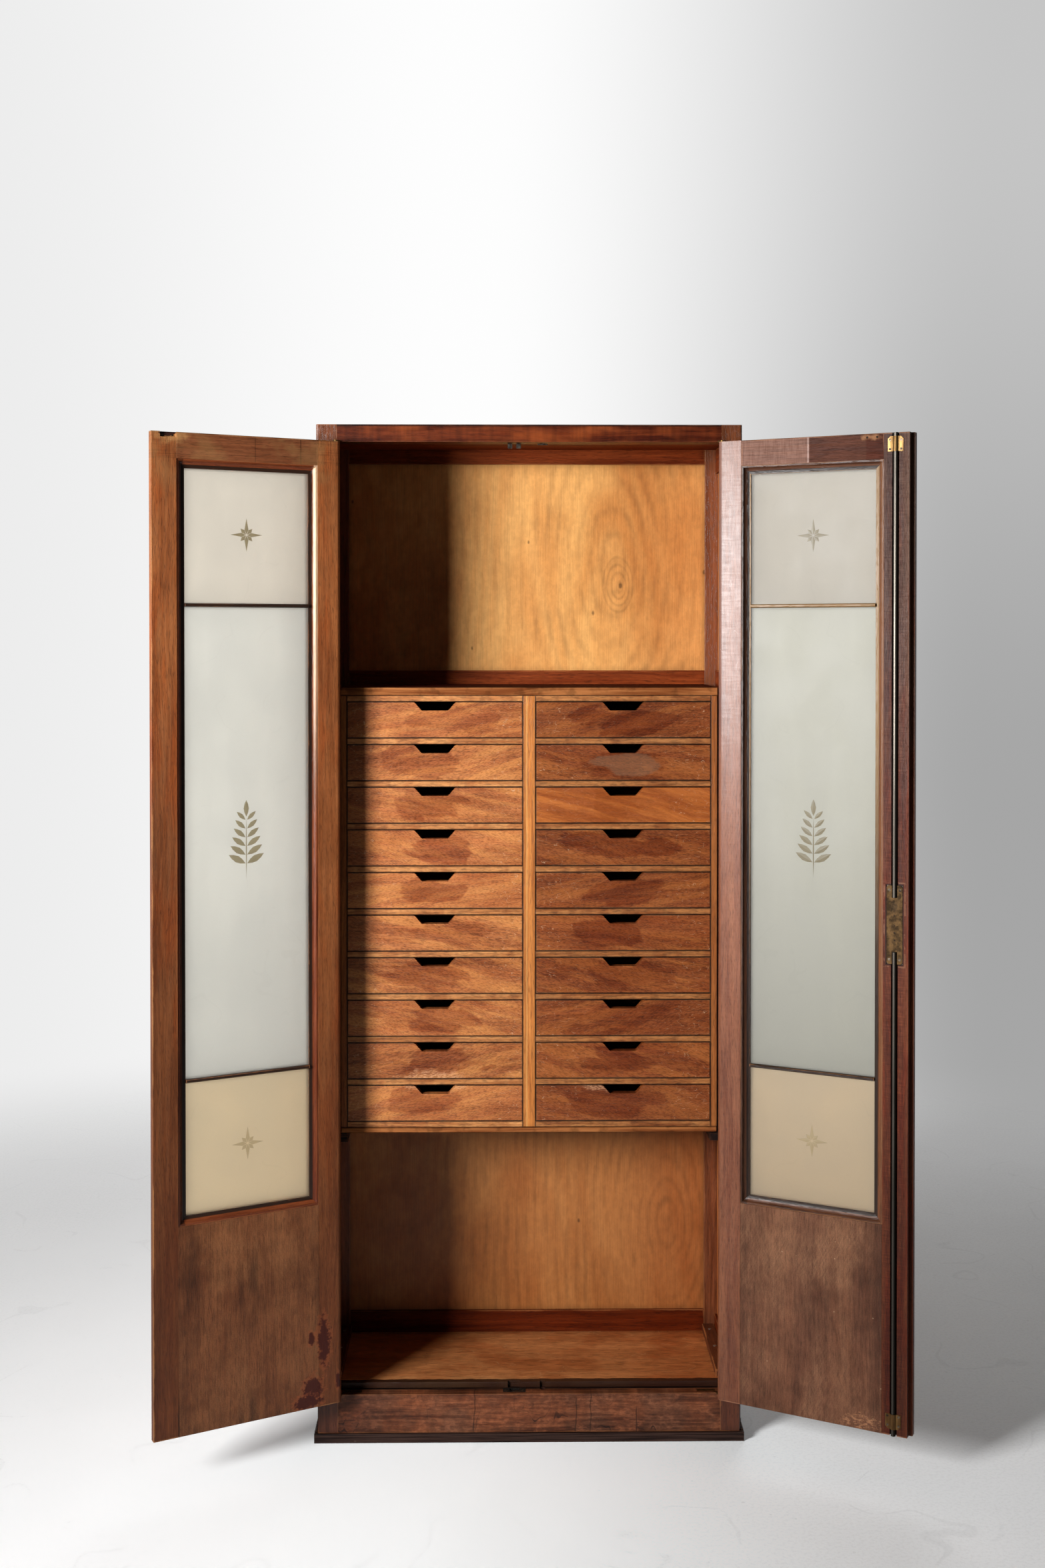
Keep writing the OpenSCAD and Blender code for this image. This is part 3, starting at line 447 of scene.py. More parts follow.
GRAIN = make_grain_group()
PEELED = make_peeled_group()
ARRIS = make_arris_group()
SPOT = make_spot_group()
SCUFFS = make_scuff_group()


# Materials

WOOD_LEVEL = 0.81  # how much darker the woods are than their tones, which were read in a strong light
RELIEF_DEPTH = 0.6 * MM  # of wood grain
DEEP = 0.02  # how far a spot reaches into the wood from its face


def new_material(name, **plain):
    """A material and its graph, with plain values set on the Principled shader's own sockets."""
    material = bpy.data.materials.new(name)
    material.use_nodes = True
    graph = Graph(material.node_tree)
    shader = material.node_tree.nodes["Principled BSDF"]
    for key, value in plain.items():
        shader.inputs[key.replace("_", " ")].default_value = value
    return material, graph


def spot(g, place, face, at, size, ragged=0.5, soft=0.4, bite=60.0, deep=DEEP):
    """Mask of a spot on a face at some y, from its place (x, z) and half its size (x, z)."""
    centre, half = (at[0], face, at[1]), (size[0], deep, size[1])
    return g.use(SPOT, Position=place, Centre=centre, Size=half, Ragged=ragged, Soft=soft, Bite=bite)["Mask"]


def arrises(g, place, width):
    """Masks of wear, dirt and painted shade along the arrises."""
    low, high = g.attribute("low")["Vector"], g.attribute("high")["Vector"]
    return g.use(ARRIS, Low=low, High=high, Position=place, Width=width)


def between(g, value, low, high, soft):
    """1 where a value lies between two others, softly."""
    return g.times(g.step(value, low, low + soft), g.step(value, high, high + soft, 1.0, 0.0))


def sawn_wood(
    name,
    dark,
    mid,
    light,
    fineness=1.0,
    wave=0.5,
    streak=0.6,
    depth=0.3,
    spread=0.12,
    gloss=0.4,
    worn=None,
    worn_width=0.0015,
    worn_share=0.7,
    shade=0.25,
    gap_dirt_and_shade=0.0,
    relief=0.35,
    specular=0.22,
    marks=None,
    **plain,
):
    """Sawn and polished wood. marks adds what only this piece has, to its colour and its roughness."""
    material, g = new_material(name, Specular_IOR_Level=specular, **plain)
    place = g.attribute("place")["Vector"]
    figure = g.use(GRAIN, Position=g.attribute("grain")["Vector"], Fineness=fineness, Wave=wave)
    colour = g.mix(figure["Bands"], dark, mid)
    colour = g.paint(colour, figure["Streaks"], streak, light)
    own = g.times(g.attribute("tone")["Fac"], spread)
    fibres = g.sway(figure["Fibres"], depth)
    level = g.plus(1.0, own, fibres)
    colour = g.scaled(colour, level)
    colour = g.darker(colour, figure["Pores"], 0.35)
    rough = g.plus(gloss, g.times(figure["Streaks"], 0.1))
    edge = arrises(g, place, worn_width)
    # Darker near the board's edges: dirt and painted shade.
    colour = g.darker(colour, edge["Shaded"], shade)
    if marks:
        colour, rough = marks(g, colour, rough, place, figure)
    if worn:
        share = g.times(edge["Worn"], worn_share)
        colour = g.mix(share, colour, worn)
        rough = g.plus(rough, g.times(share, 0.15))
    # A thin line of painted shade, with dirt, in the gaps at the board's edges.
    if gap_dirt_and_shade:
        colour = g.darker(colour, edge["Seam"], gap_dirt_and_shade)
    g.finish(g.scaled(colour, WOOD_LEVEL), rough, figure["Relief"], relief, RELIEF_DEPTH)
    return material


def head_marks(g, colour, rough, place, figure):
    """Old polish: amber where it is thin, nearly black along the top edge as painted shade where it meets the
    top board.
    """
    thin = g.patches(g.stretch(place, 1, 1, 2.5), 6, 0.46, 0.66)
    colour = g.paint(colour, thin, 0.7, tone(150, 72, 32))
    ripple = g.cloud(place, (90, 1, 7), 2, 0.5, 0.4, 0.65)
    colour = g.darker(colour, ripple, 0.25)
    x, _, z = g.parts(place)
    dull = g.step(g.away(x), HALF_W - 0.3, HALF_W - 0.06)
    colour = g.stain(colour, g.times(dull, g.patches(place, 9, 0.35, 0.6)), 0.8, (0.5, 0.4, 0.4, 1))
    rough = dusty_top(g, z, 0.06, rough)
    # Nearly black at the top: painted shade where the rail meets the top board.
    return g.darker(colour, g.step(z, CAB_H - 5 * MM, CAB_H - 2 * MM), 0.85), rough


def dusty_top(g, z, polish, rough, top=CAB_H):
    """Leaves a top edge without its polish, dull with dust. Gives back the roughness."""
    dusty = g.step(z, top - 1.5 * MM, top - 0.5 * MM)
    if polish:
        g.coat(g.times(g.minus(1.0, dusty), polish))
    return g.most(rough, g.times(dusty, 0.95))


def post_marks(g, colour, rough, place, figure):
    """Kicked dark at the foot, dusty on top."""
    z = g.parts(place)[2]
    rough = dusty_top(g, z, 0.15, rough)
    ragged = g.plus(z, g.sway(g.noise(place, 18, 3), 0.05))
    return g.stain(colour, g.step(ragged, 0.09, 0.17, 1.0, 0.0), 1.0, (0.62, 0.58, 0.66, 1)), rough


def frame_marks(g, colour, rough, place, figure):
    """Darker low down, and dusty on top."""
    z = g.parts(place)[2]
    rough = dusty_top(g, z, 0.0, rough)
    return g.stain(colour, g.step(z, 0.2, 0.5, 1.0, 0.0), 1.0, (0.56, 0.42, 0.28, 1)), rough


PLINTH_CRACKS = ((-0.108, 0.11), (0.092, 0.09), (0.121, 0.1), (0.21, 0.07))  # x, height of the upper end


def plinth_marks(g, colour, rough, place, figure):
    """Kicks and scrapes: pale rubbed patches low down, dark dents, long scratches, dirt at the ends."""
    x, _, z = g.parts(place)
    rubbed = g.patches(g.stretch(place, 1.3, 1, 2.4), 13, 0.44, 0.62)
    speckled = g.cloud(place, (90, 1, 200), 3, 0.6, 0.42, 0.6, 0.25, 1.0)
    low_part = g.step(z, 0.04, 0.11, 1.0, 0.5)
    rubbed = g.times(rubbed, low_part, speckled)
    colour = g.paint(colour, rubbed, 0.55, tone(158, 100, 70))
    left_end = g.step(x, -HALF_W, -HALF_W + 0.2, 1.0, 0.0)
    smoke = g.patches(g.stretch(place, 1, 1, 1.6), 8, 0.44, 0.6)
    dirt = g.math("MULTIPLY", smoke, g.plus(0.45, left_end), clamp=True)
    colour = g.stain(colour, dirt, 0.85, (0.42, 0.34, 0.3, 1))
    warm = g.patches(g.vector("ADD", g.stretch(place, 1, 1, 0.7), (5.0, 0, 2.0)), 11, 0.42, 0.62)
    colour = g.stain(colour, warm, 0.8, (1.3, 1.08, 0.86, 1))
    mottle = g.cloud(place, (70, 1, 90), 4, 0.7, 0.38, 0.64, 0.78, 1.14)
    colour = g.scaled(colour, mottle)
    scuff = g.use(SCUFFS, Position=g.stretch(place, 1, 1, 0.6), Scale=17.0, Amount=1.0)
    low_down = g.step(z, 0.03, 0.085, 1.0, 0.3)
    colour = g.darker(colour, g.times(scuff["Scratches"], low_down), 0.75)
    pecks = g.use(SCUFFS, Position=g.stretch(place, 0.55, 1, 0.9), Scale=30.0, Amount=0.9)
    colour = g.darker(colour, g.times(pecks["Pecks"], low_down), 0.85)
    lean = g.sway(g.noise(place, 25, 2), 0.012)
    for crack_x, top in PLINTH_CRACKS:
        crack = g.times(g.line(g.plus(x, lean), crack_x, 0.0014), g.step(z, top - 0.01, top, 1.0, 0.0))
        colour = g.darker(colour, crack, 0.65)
    return colour, g.plus(rough, g.times(rubbed, 0.12))


def base_marks(g, colour, rough, place, figure):
    """Fine combed lines, with dust and nail heads."""
    lines = g.cloud(place, (6, 200, 420), 2, 0.6, 0.4, 0.6)
    colour = g.paint(colour, lines, 0.5, tone(80, 58, 50))
    pecks = g.use(SCUFFS, Position=g.stretch(place, 0.5, 1, 1), Scale=20.0, Amount=0.5)
    colour = g.paint(colour, pecks["Pecks"], 0.6, tone(170, 150, 130))
    return colour, rough


def floor_marks(g, colour, rough, place, figure):
    """Rubbed pale in streaks along the front left, darker and stained towards the right."""
    x, y, _ = g.parts(place)
    front = g.times(g.step(y, FLOOR_Y, FLOOR_Y + 0.04, 1.0, 0.0), g.step(x, -0.1, 0.15, 1.0, 0.1))
    streaked = g.times(front, g.cloud(place, (9, 120, 1), 3, 0.5, 0.44, 0.56))
    colour = g.paint(colour, streaked, 0.7, tone(232, 170, 108))
    stain = g.patches(g.stretch(place, 1, 1.6, 1), 8, 0.42, 0.64)
    colour = g.stain(colour, stain, 0.75, (0.74, 0.56, 0.48, 1))
    mottle = g.cloud(place, (30, 60, 1), 4, 0.7, 0.4, 0.62)
    colour = g.darker(colour, mottle, 0.2)
    right = g.step(x, 0.16, 0.36)
    colour = g.stain(colour, right, 1.0, (0.86, 0.74, 0.66, 1))
    scuff = g.use(SCUFFS, Position=g.stretch(place, 0.7, 1.4, 1), Scale=17.0, Amount=1.0)
    colour = g.paint(colour, scuff["Scratches"], 0.35, tone(205, 150, 100))
    pecks = g.use(SCUFFS, Position=g.stretch(place, 1.5, 0.7, 1), Scale=20.0, Amount=0.5)
    colour = g.darker(colour, pecks["Pecks"], 0.5)
    bitten = g.sway(g.noise(g.stretch(place, 30, 90, 1), 1, 3, 0.6), 0.012)
    edge = g.step(g.plus(y, bitten), FLOOR_Y + 0.012, FLOOR_Y + 0.015, 1.0, 0.0)
    return g.paint(colour, edge, 0.95, tone(34, 16, 10)), g.plus(rough, g.times(stain, -0.06))


def sill_marks(g, colour, rough, place, figure):
    """Worn through to paler wood in places, with long splits and splinters."""
    rubbed = g.patches(g.stretch(place, 1, 4, 1), 9, 0.54, 0.68)
    colour = g.paint(colour, rubbed, 0.4, tone(66, 38, 27))
    split = g.cloud(place, (7, 260, 260), 3, 0.6, 0.56, 0.66)
    colour = g.paint(colour, split, 0.3, tone(120, 78, 56))
    pecks = g.use(SCUFFS, Position=g.stretch(place, 0.6, 1, 1), Scale=34.0, Amount=0.9)
    return g.paint(colour, pecks["Pecks"], 0.4, tone(150, 108, 80)), rough


def nest_board_marks(g, colour, rough, place, figure):
    """Golden along the front edge, stained dark on top."""
    y = g.parts(place)[1]
    front = g.step(y, NEST_Y + 0.6 * MM, NEST_Y + 1.2 * MM, 1.0, 0.0)
    golden = g.mix(figure["Streaks"], tone(116, 62, 30), tone(168, 106, 60))
    golden = g.darker(golden, g.patches(place, 30, 0.5, 0.66), 0.35)
    return g.mix(front, colour, golden), rough


def upright_marks(g, colour, rough, place, figure):
    """Orange in the middle of the nest, with a fine pale line; browner at its sides."""
    x = g.parts(place)[0]
    side = g.step(g.away(x), 0.1, 0.3)
    colour = g.stain(colour, side, 0.9, (0.62, 0.56, 0.6, 1))
    return g.paint(colour, g.line(x, -0.0045, 0.0014), 0.35, tone(255, 200, 120)), rough


DULL_PATCHES = (  # (x, z) on the second right front, half size, raggedness, softness
    ((0.182, 1.3385), (0.072, 0.014), 0.5, 0.25),
    ((0.206, 1.3315), (0.057, 0.026), 0.5, 0.2),
)
SCRAPES = (  # (x, z) on the two lowest rows, half size, raggedness, softness
    ((-0.188, 0.703), (0.08, 0.028), 1.2, 0.5),
    ((0.146, 0.695), (0.066, 0.014), 1.2, 0.5),
)


def drawer_marks(g, colour, rough, place, figure):
    """Slanting golden ribbons and short flecks, a blot of dark old varnish under each notch, pale
    scuffs near the ends."""
    x = g.parts(place)[0]
    low, high = g.parts(g.attribute("low")["Vector"]), g.parts(g.attribute("high")["Vector"])
    own = g.parts(g.attribute("grain")["Vector"])
    level = g.attribute("tone")["Fac"]
    lean = g.times(g.math("SINE", g.times(level, 23.0)), 0.3)
    along = g.minus(own[0], g.times(own[2], lean))
    across = g.plus(own[2], g.times(own[0], lean))
    flow = g.sway(g.noise(g.joined(own[0], own[1], own[2]), 7, 1.5), 0.03)
    bent = g.plus(across, flow)
    ribbon = g.step(g.noise(g.joined(g.times(along, 4.0), own[1], g.times(bent, 46.0)), 1, 3, 0.6), 0.4, 0.66)
    colour = g.paint(colour, ribbon, 0.6, tone(214, 142, 78))
    fleck = g.joined(g.times(along, 150.0), own[1], g.times(bent, 640.0))
    flecks = g.noise(fleck, 1, 2, 0.6)
    colour = g.darker(colour, g.step(flecks, 0.5, 0.62), 0.36)
    colour = g.mix(g.step(flecks, 0.5, 0.36, 0.0, 0.14), colour, tone(226, 162, 104))
    smoky = g.step(g.noise(g.joined(own[0], own[1], g.times(own[2], 2.0)), 7, 3, 0.6), 0.42, 0.66)
    colour = g.stain(colour, smoky, 0.65, (0.7, 0.56, 0.5, 1))
    from_middle = g.times(g.minus(low[0], high[0]), 0.5)
    wide = g.minus(0.075, g.times(level, 0.035))
    field = g.vector(
        "LENGTH",
        g.joined(
            g.over(g.plus(from_middle, g.times(g.math("SINE", g.times(level, 37.0)), 0.028)), wide),
            0.0,
            g.over(g.minus(high[2], 0.036), 0.026),
        ),
    )
    ragged = g.noise(g.joined(own[0], own[1], g.times(bent, 2.4)), 11, 3, 0.55)
    edge = g.plus(field, g.sway(ragged, 2.6))
    blot = g.step(edge, 0.86, 1.08, 1.0, 0.0)
    varied = g.plus(0.82, g.times(g.math("SINE", g.times(level, 61.0)), 0.18))
    colour = g.stain(colour, g.times(blot, varied), 0.95, (0.64, 0.5, 0.5, 1))
    right = g.step(x, 0.0, 0.02)
    colour = g.stain(colour, right, 1.0, (0.58, 0.45, 0.37, 1))
    dull = g.most(*[spot(g, place, DRAWER_FRONT_Y, *patch) for patch in DULL_PATCHES])
    bare = g.mix(0.5, tone(112, 86, 66), colour)
    colour = g.paint(colour, dull, 0.85, bare)
    for scrape in SCRAPES:
        scraped = spot(g, place, DRAWER_FRONT_Y, *scrape, bite=45.0)
        scraped = g.times(scraped, g.step(flecks, 0.4, 0.56, 1.0, 0.2))
        colour = g.paint(colour, scraped, 0.55, tone(216, 166, 126))
    amber = g.step(level, 0.8, 0.85)
    colour = g.paint(colour, amber, 0.5, g.mix(ribbon, tone(150, 78, 30), tone(196, 112, 48)))
    scuff = g.use(SCUFFS, Position=g.joined(own[0], own[1], g.times(own[2], 1.6)), Scale=46.0, Amount=0.9)
    off_middle = g.away(from_middle)
    ends = g.step(off_middle, 0.06, 0.15, 0.1, 0.5)
    colour = g.paint(colour, scuff["Scratches"], ends, tone(224, 184, 146))
    return colour, g.minus(rough, g.times(blot, 0.06))


def rail_marks(g, colour, rough, place, figure):
    """Short rubbed grain on the rails between the drawers, and a shadow where they meet the fronts."""
    speck = g.cloud(place, (50, 150, 200), 2, 0.6, 0.48, 0.62)
    colour = g.darker(colour, speck, 0.3)
    dull = g.patches(g.stretch(place, 1, 1, 0.3), 16, 0.46, 0.6)
    colour = g.stain(colour, dull, 0.7, (0.66, 0.52, 0.46, 1))
    x = g.parts(place)[0]
    return g.stain(colour, g.step(x, 0.0, 0.02), 1.0, (0.72, 0.66, 0.6, 1)), rough


VENEER_JOINTS = ((0.174, 0.35), (0.083, 0.6))  # x on the left door's head, darkness
WINE_STAINS = (  # (x, z) on the left door, half size
    ((0.038, 0.222), (0.014, 0.052)),
    ((0.062, 0.132), (0.021, 0.027)),
    ((0.072, 0.11), (0.034, 0.014)),
    ((0.008, 0.139), (0.007, 0.016)),
    ((0.064, 0.23), (0.007, 0.014)),
)
RIM = 1.3  # size of a stain's pale rim, in sizes of the stain


def dark_top(g, colour, z, share):
    """A darker line along a door's top edge."""
    return g.darker(colour, g.step(z, LEAF_HI.z - 2.2 * MM, LEAF_HI.z - 0.8 * MM), share)


def left_door_marks(g, colour, rough, place, figure):
    """Redder along the free edge and the hinges, veneer joints in the head, wine-dark stains at the
    foot, and wood rubbed bare at the top corner."""
    x, _, z = g.parts(place)
    head = g.step(z, BEAD_HI.z - 0.002, BEAD_HI.z)
    for joint_x, share in VENEER_JOINTS:
        colour = g.darker(colour, g.times(g.line(x, joint_x, 0.0014), head), share)
    combed = g.cloud(place, (9, 1, 420), 2, 0.6, 0.42, 0.62)
    colour = g.darker(colour, g.times(combed, head), 0.22)
    red = g.patches(g.stretch(place, 5, 1, 0.8), 5, 0.46, 0.64)
    free_edge = g.step(x, 0.32, 0.334)
    stile = g.most(g.step(x, 0.04, 0.055, 1.0, 0.0), free_edge)
    red = g.times(red, g.step(z, 0.35, 1.0, 0.25, 1.0))
    colour = g.stain(colour, g.times(red, stile), 0.75, (1.12, 0.8, 0.55, 1))
    low_half = g.times(free_edge, g.step(z, 1.2, 1.6, 1.0, 0.0))
    colour = g.stain(colour, low_half, g.step(z, 0.3, 1.0, 0.2, 1.0), (0.78, 0.78, 0.84, 1))
    joint = g.times(g.line(x, FREE_STILE, 0.0016), g.step(z, 0.12, 0.19, 1.0, 0.0))
    colour = g.darker(colour, joint, 0.8)
    mottle = g.patches(g.stretch(place, 1.5, 1, 0.8), 9, 0.42, 0.64)
    colour = g.stain(colour, mottle, 0.5, (0.66, 0.6, 0.55, 1))
    rail = g.times(g.step(z, 1.9, 1.912), between(g, x, 0.047, 0.326, 2 * MM))
    colour = g.stain(colour, rail, 1.0, (0.7, 0.7, 0.88, 1))
    olive = g.times(g.patches(place, 14, 0.45, 0.62), g.step(z, 1.84, 1.9))
    colour = g.paint(colour, olive, 0.4, tone(150, 108, 66))
    for at, size in WINE_STAINS:
        stain = spot(g, place, DOOR_T, at, size, 1.7, 0.35, bite=110.0)
        wider = [side * RIM for side in size]
        rim = spot(g, place, DOOR_T, at, wider, 1.9, 0.3, bite=130.0, deep=DEEP * RIM)
        colour = g.paint(colour, rim, 0.45, tone(206, 112, 64))
        colour = g.paint(colour, stain, 0.92, tone(84, 20, 11))
    corner = spot(g, place, DOOR_T, (LEAF_W - 0.04, LEAF_HI.z - 0.006), (0.036, 0.02), 1.2, 0.7)
    colour = g.paint(colour, corner, 0.6, tone(192, 142, 88))
    # The catch's mortise painted near black: painted shade in the recess.
    slot = spot(g, place, DOOR_T, (LEAF_W - 0.032, LEAF_HI.z), (0.0185, 0.009), 0.7, 0.14, deep=0.05)
    colour = g.paint(colour, slot, 0.96, tone(40, 12, 12))
    colour = dark_top(g, colour, z, 0.7)
    # Darker towards the foot: painted shade where the lamp's light falls off.
    foot = g.step(z, LEAF_LO.z + 0.1, LEAF_LO.z + 1.5, 1.0, 0.0)
    rough = dusty_top(g, z, 0.0, rough, LEAF_HI.z)
    return g.stain(colour, foot, 1.0, (0.46, 0.42, 0.42, 1)), rough


def smeared(g, colour, place, pale, dark, share):
    """Polish wiped about a panel by hand: fine crossing strokes in patches, with dark clouds."""
    x, _, z = g.parts(place)
    strokes = 0.0
    for lean, weight in ((0.55, 0.4), (-0.4, 0.3), (0.03, 0.3)):
        along = g.plus(g.times(x, lean), z)
        across = g.minus(x, g.times(z, lean))
        sweep = g.joined(g.times(across, 330.0), lean * 9, g.times(along, 26.0))
        strokes = g.plus(strokes, g.times(g.step(g.noise(sweep, 1, 3, 0.65), 0.4, 0.64), weight))
    clouds = g.patches(g.stretch(place, 1, 1, 0.7), 9, 0.36, 0.62)
    broad = g.cloud(place, (17, 1, 2.6), 2, 0.5, 0.4, 0.62)
    wiped = g.times(clouds, g.plus(0.55, g.times(broad, 0.45)))
    strokes = g.times(wiped, g.plus(0.15, g.times(strokes, 1.15)))
    colour = g.paint(colour, strokes, share, pale)
    deep = g.patches(g.vector("ADD", g.stretch(place, 1.4, 1, 1), (3.1, 0, 1.7)), 6, 0.44, 0.66)
    colour = g.stain(colour, deep, 0.75, dark)
    fine = g.cloud(place, (420, 1, 420), 2, 0.5, 0.34, 0.66, 0.9, 1.08)
    small = g.cloud(place, (40, 1, 30), 4, 0.7, 0.36, 0.64, 0.88, 1.1)
    return g.scaled(colour, g.times(fine, small))


DARK_STREAKS = ((0.18, 0.012, 0.4), (0.205, 0.008, 0.3), (0.3, 0.02, 0.3))  # x, width, darkness


def left_panel_marks(g, colour, rough, place, figure):
    """A wiped panel, with the rest as on the door's stiles."""
    x = g.parts(place)[0]
    colour = smeared(g, colour, place, tone(206, 144, 92), (0.6, 0.5, 0.44, 1), 0.6)
    bent = g.plus(x, g.sway(g.noise(place, 4, 2), 0.02))
    for streak_x, width, share in DARK_STREAKS:
        broken = g.cloud(place, (9, 1, 7), 3, 0.5, 0.36, 0.6)
        colour = g.darker(colour, g.times(g.line(bent, streak_x, width), broken), share)
    return left_door_marks(g, colour, rough, place, figure)


def right_stile_marks(g, colour, rough, place, figure):
    """Paler by the hinges, partly bleached and partly a painted sheen, and still glossy there; dark and
    stained red round the rods; bruised round the lock cover."""
    x, _, z = g.parts(place)
    upright = g.noise(g.stretch(place, 260, 1, 26), 1, 3, 0.6)
    hatch = g.noise(g.stretch(place, 30, 1, 330), 1, 3, 0.6)
    hatch = g.plus(g.times(upright, 0.4), g.times(hatch, 0.6))
    dull = g.patches(g.stretch(place, 1.5, 1, 0.6), 8, 0.42, 0.64)
    colour = g.stain(colour, dull, 0.55, (0.66, 0.6, 0.62, 1))
    rods = g.line(x, ROD_X, 0.03)
    colour = g.stain(colour, g.times(rods, g.step(hatch, 0.3, 0.6)), 0.9, (0.46, 0.34, 0.38, 1))
    red = g.patches(g.stretch(place, 9, 1, 1), 6, 0.48, 0.62)
    colour = g.stain(colour, g.times(red, g.step(x, 0.31, 0.33)), 0.7, (1.1, 0.68, 0.5, 1))
    away_x = g.minus(g.away(g.minus(x, ROD_X)), (COVER_HI.x - COVER_LO.x) / 2)
    middle_z = (COVER_LO.z + COVER_HI.z) / 2
    away_z = g.minus(g.away(g.minus(z, middle_z)), (COVER_HI.z - COVER_LO.z) / 2)
    away = g.plus(g.most(away_x, away_z), g.sway(hatch, 0.004))
    bruised = g.times(g.line(away, 0.0045, 0.002), g.patches(place, 45, 0.45, 0.55))
    colour = g.paint(colour, bruised, 0.35, tone(180, 150, 134))
    # A dark line round the lock cover: painted shade of the gap round it, with dirt.
    colour = g.darker(colour, g.line(away, 0.0012, 0.0016), 0.7)
    # Darker towards the foot, most on the free side: painted shade where the lamp's light falls off.
    foot = g.step(z, LEAF_LO.z + 0.1, LEAF_LO.z + 1.1, 1.0, 0.0)
    colour = g.stain(colour, g.times(foot, g.step(x, 0.3, 0.33, 0.6, 1.0)), 1.0, (0.56, 0.52, 0.44, 1))
    grime = g.times(g.step(x, 0.0, 0.012, 1.0, 0.0), g.patches(g.stretch(place, 3, 1, 1), 6, 0.44, 0.6))
    colour = g.stain(colour, g.times(grime, g.step(z, 0.3, 0.9, 1.0, 0.0)), 1.0, (0.44, 0.34, 0.46, 1))
    # Pale scratches and paler wood high on the hinge stile: real scratches and bleaching, brightened as a
    # painted sheen where the lamp's reflection falls.
    scuff = g.use(SCUFFS, Position=g.stretch(place, 1, 1, 0.5), Scale=26.0, Amount=0.8)
    hinge_side = g.step(x, 0.044, 0.052, 1.0, 0.0)
    scratched_sheen = g.times(hinge_side, g.step(z, 1.2, 1.5, 0.0, 0.35))
    colour = g.paint(colour, scuff["Scratches"], scratched_sheen, tone(200, 176, 170))
    pale = g.times(hinge_side, g.step(z, 1.1, 1.7))
    colour = g.paint(colour, pale, 0.3, tone(150, 128, 122))
    # The free stile tinted bluish up high, a painted sheen, and warmer low down.
    free = g.step(x, FREE_STILE - 0.004, FREE_STILE)
    tint = g.mix(g.step(z, 1.0, 1.75), (0.96, 0.7, 0.5, 1), (0.62, 0.8, 0.94, 1))
    colour = g.mix(free, colour, g.mix(1.0, colour, tint, "MULTIPLY"))
    beside_rods = between(g, x, ROD_X - 0.03, ROD_X + 0.02, 0.01)
    colour = g.darker(colour, beside_rods, 0.18)
    uneven = g.patches(g.stretch(place, 4, 1, 1), 6, 0.3, 0.7)
    worn_off = g.times(g.step(hatch, 0.3, 0.7, 0.17, 0.44), g.step(uneven, 0.0, 1.0, 0.72, 1.0))
    polished = g.times(hinge_side, worn_off)
    g.coat(polished)
    return colour, g.plus(rough, g.times(g.step(hatch, 0.3, 0.7), 0.08))


HEAD_JOINT = 0.183  # x of a joint in the right door's head
OLD_HOLES = (0.295, 0.314)  # x of the screw holes beyond it


def right_head_marks(g, colour, rough, place, figure):
    """Bleached under a painted sheen as far as a joint, darker beyond it and reddest at its end, with the
    screw holes of an older guide."""
    x, _, z = g.parts(place)
    hatch = g.noise(g.stretch(place, 260, 1, 26), 1, 3, 0.6)
    # Paler as far as the joint: bleached wood under a painted sheen, with a pale line of painted sheen along
    # the joint.
    bleach_and_sheen_side = g.step(x, HEAD_JOINT - 1 * MM, HEAD_JOINT + 1 * MM, 1.0, 0.0)
    combed = g.cloud(place, (14, 1, 320), 2, 0.6, 0.42, 0.62)
    bleach_and_sheen = g.times(bleach_and_sheen_side, g.step(hatch, 0.34, 0.66, 0.5, 1.0))
    colour = g.paint(colour, bleach_and_sheen, 0.42, tone(178, 138, 122))
    colour = g.paint(colour, g.line(x, HEAD_JOINT - 2 * MM, 2.5 * MM), 0.5, tone(200, 170, 160))
    colour = g.darker(colour, combed, 0.25)
    beyond = g.step(x, HEAD_JOINT, HEAD_JOINT + 2 * MM)
    colour = g.stain(colour, beyond, 1.0, (0.72, 0.62, 0.58, 1))
    colour = g.stain(colour, g.step(x, 0.291, 0.295), 1.0, (0.8, 0.56, 0.44, 1))
    hole_z = LEAF_HI.z - 0.007
    for hole_x in OLD_HOLES:
        bare = spot(g, place, DOOR_T, (hole_x - 0.003, hole_z), (0.012, 0.008), 2.6, 1.0)
        colour = g.paint(colour, bare, 0.6, tone(176, 126, 88))
        hole = spot(g, place, DOOR_T, (hole_x, hole_z), (0.0024, 0.0024), 0.2, 0.3)
        colour = g.darker(colour, hole, 0.95)
    return dark_top(g, colour, z, 0.6), rough


def right_panel_marks(g, colour, rough, place, figure):
    """A wiped panel with specks of paint, a tide mark at its foot and wood rubbed bare in the corner."""
    x, _, z = g.parts(place)
    colour = smeared(g, colour, place, tone(154, 112, 82), (0.6, 0.54, 0.5, 1), 0.62)
    tide = spot(g, place, DOOR_T, (0.29, LEAF_LO.z + 0.014), (0.044, 0.018), 2.0, 0.5, bite=100.0)
    crazed = g.cloud(place, (90, 1, 260), 3, 0.7, 0.46, 0.6)
    colour = g.paint(colour, g.times(tide, crazed), 0.6, tone(200, 146, 104))
    shaded = g.times(g.step(x, 0.3, FREE_STILE), g.step(z, 0.2, 0.26))
    colour = g.stain(colour, shaded, 0.9, (0.62, 0.56, 0.56, 1))
    pecks = g.use(SCUFFS, Position=g.stretch(place, 1.6, 1, 1.6), Scale=20.0, Amount=0.5)
    colour = g.paint(colour, pecks["Pecks"], 0.55, tone(206, 176, 140))
    # Darker towards the foot: painted shade where the lamp's light falls off.
    foot = g.step(z, LEAF_LO.z, LEAF_LO.z + 0.5, 1.0, 0.0)
    return g.stain(colour, foot, 1.0, (0.76, 0.71, 0.72, 1)), rough


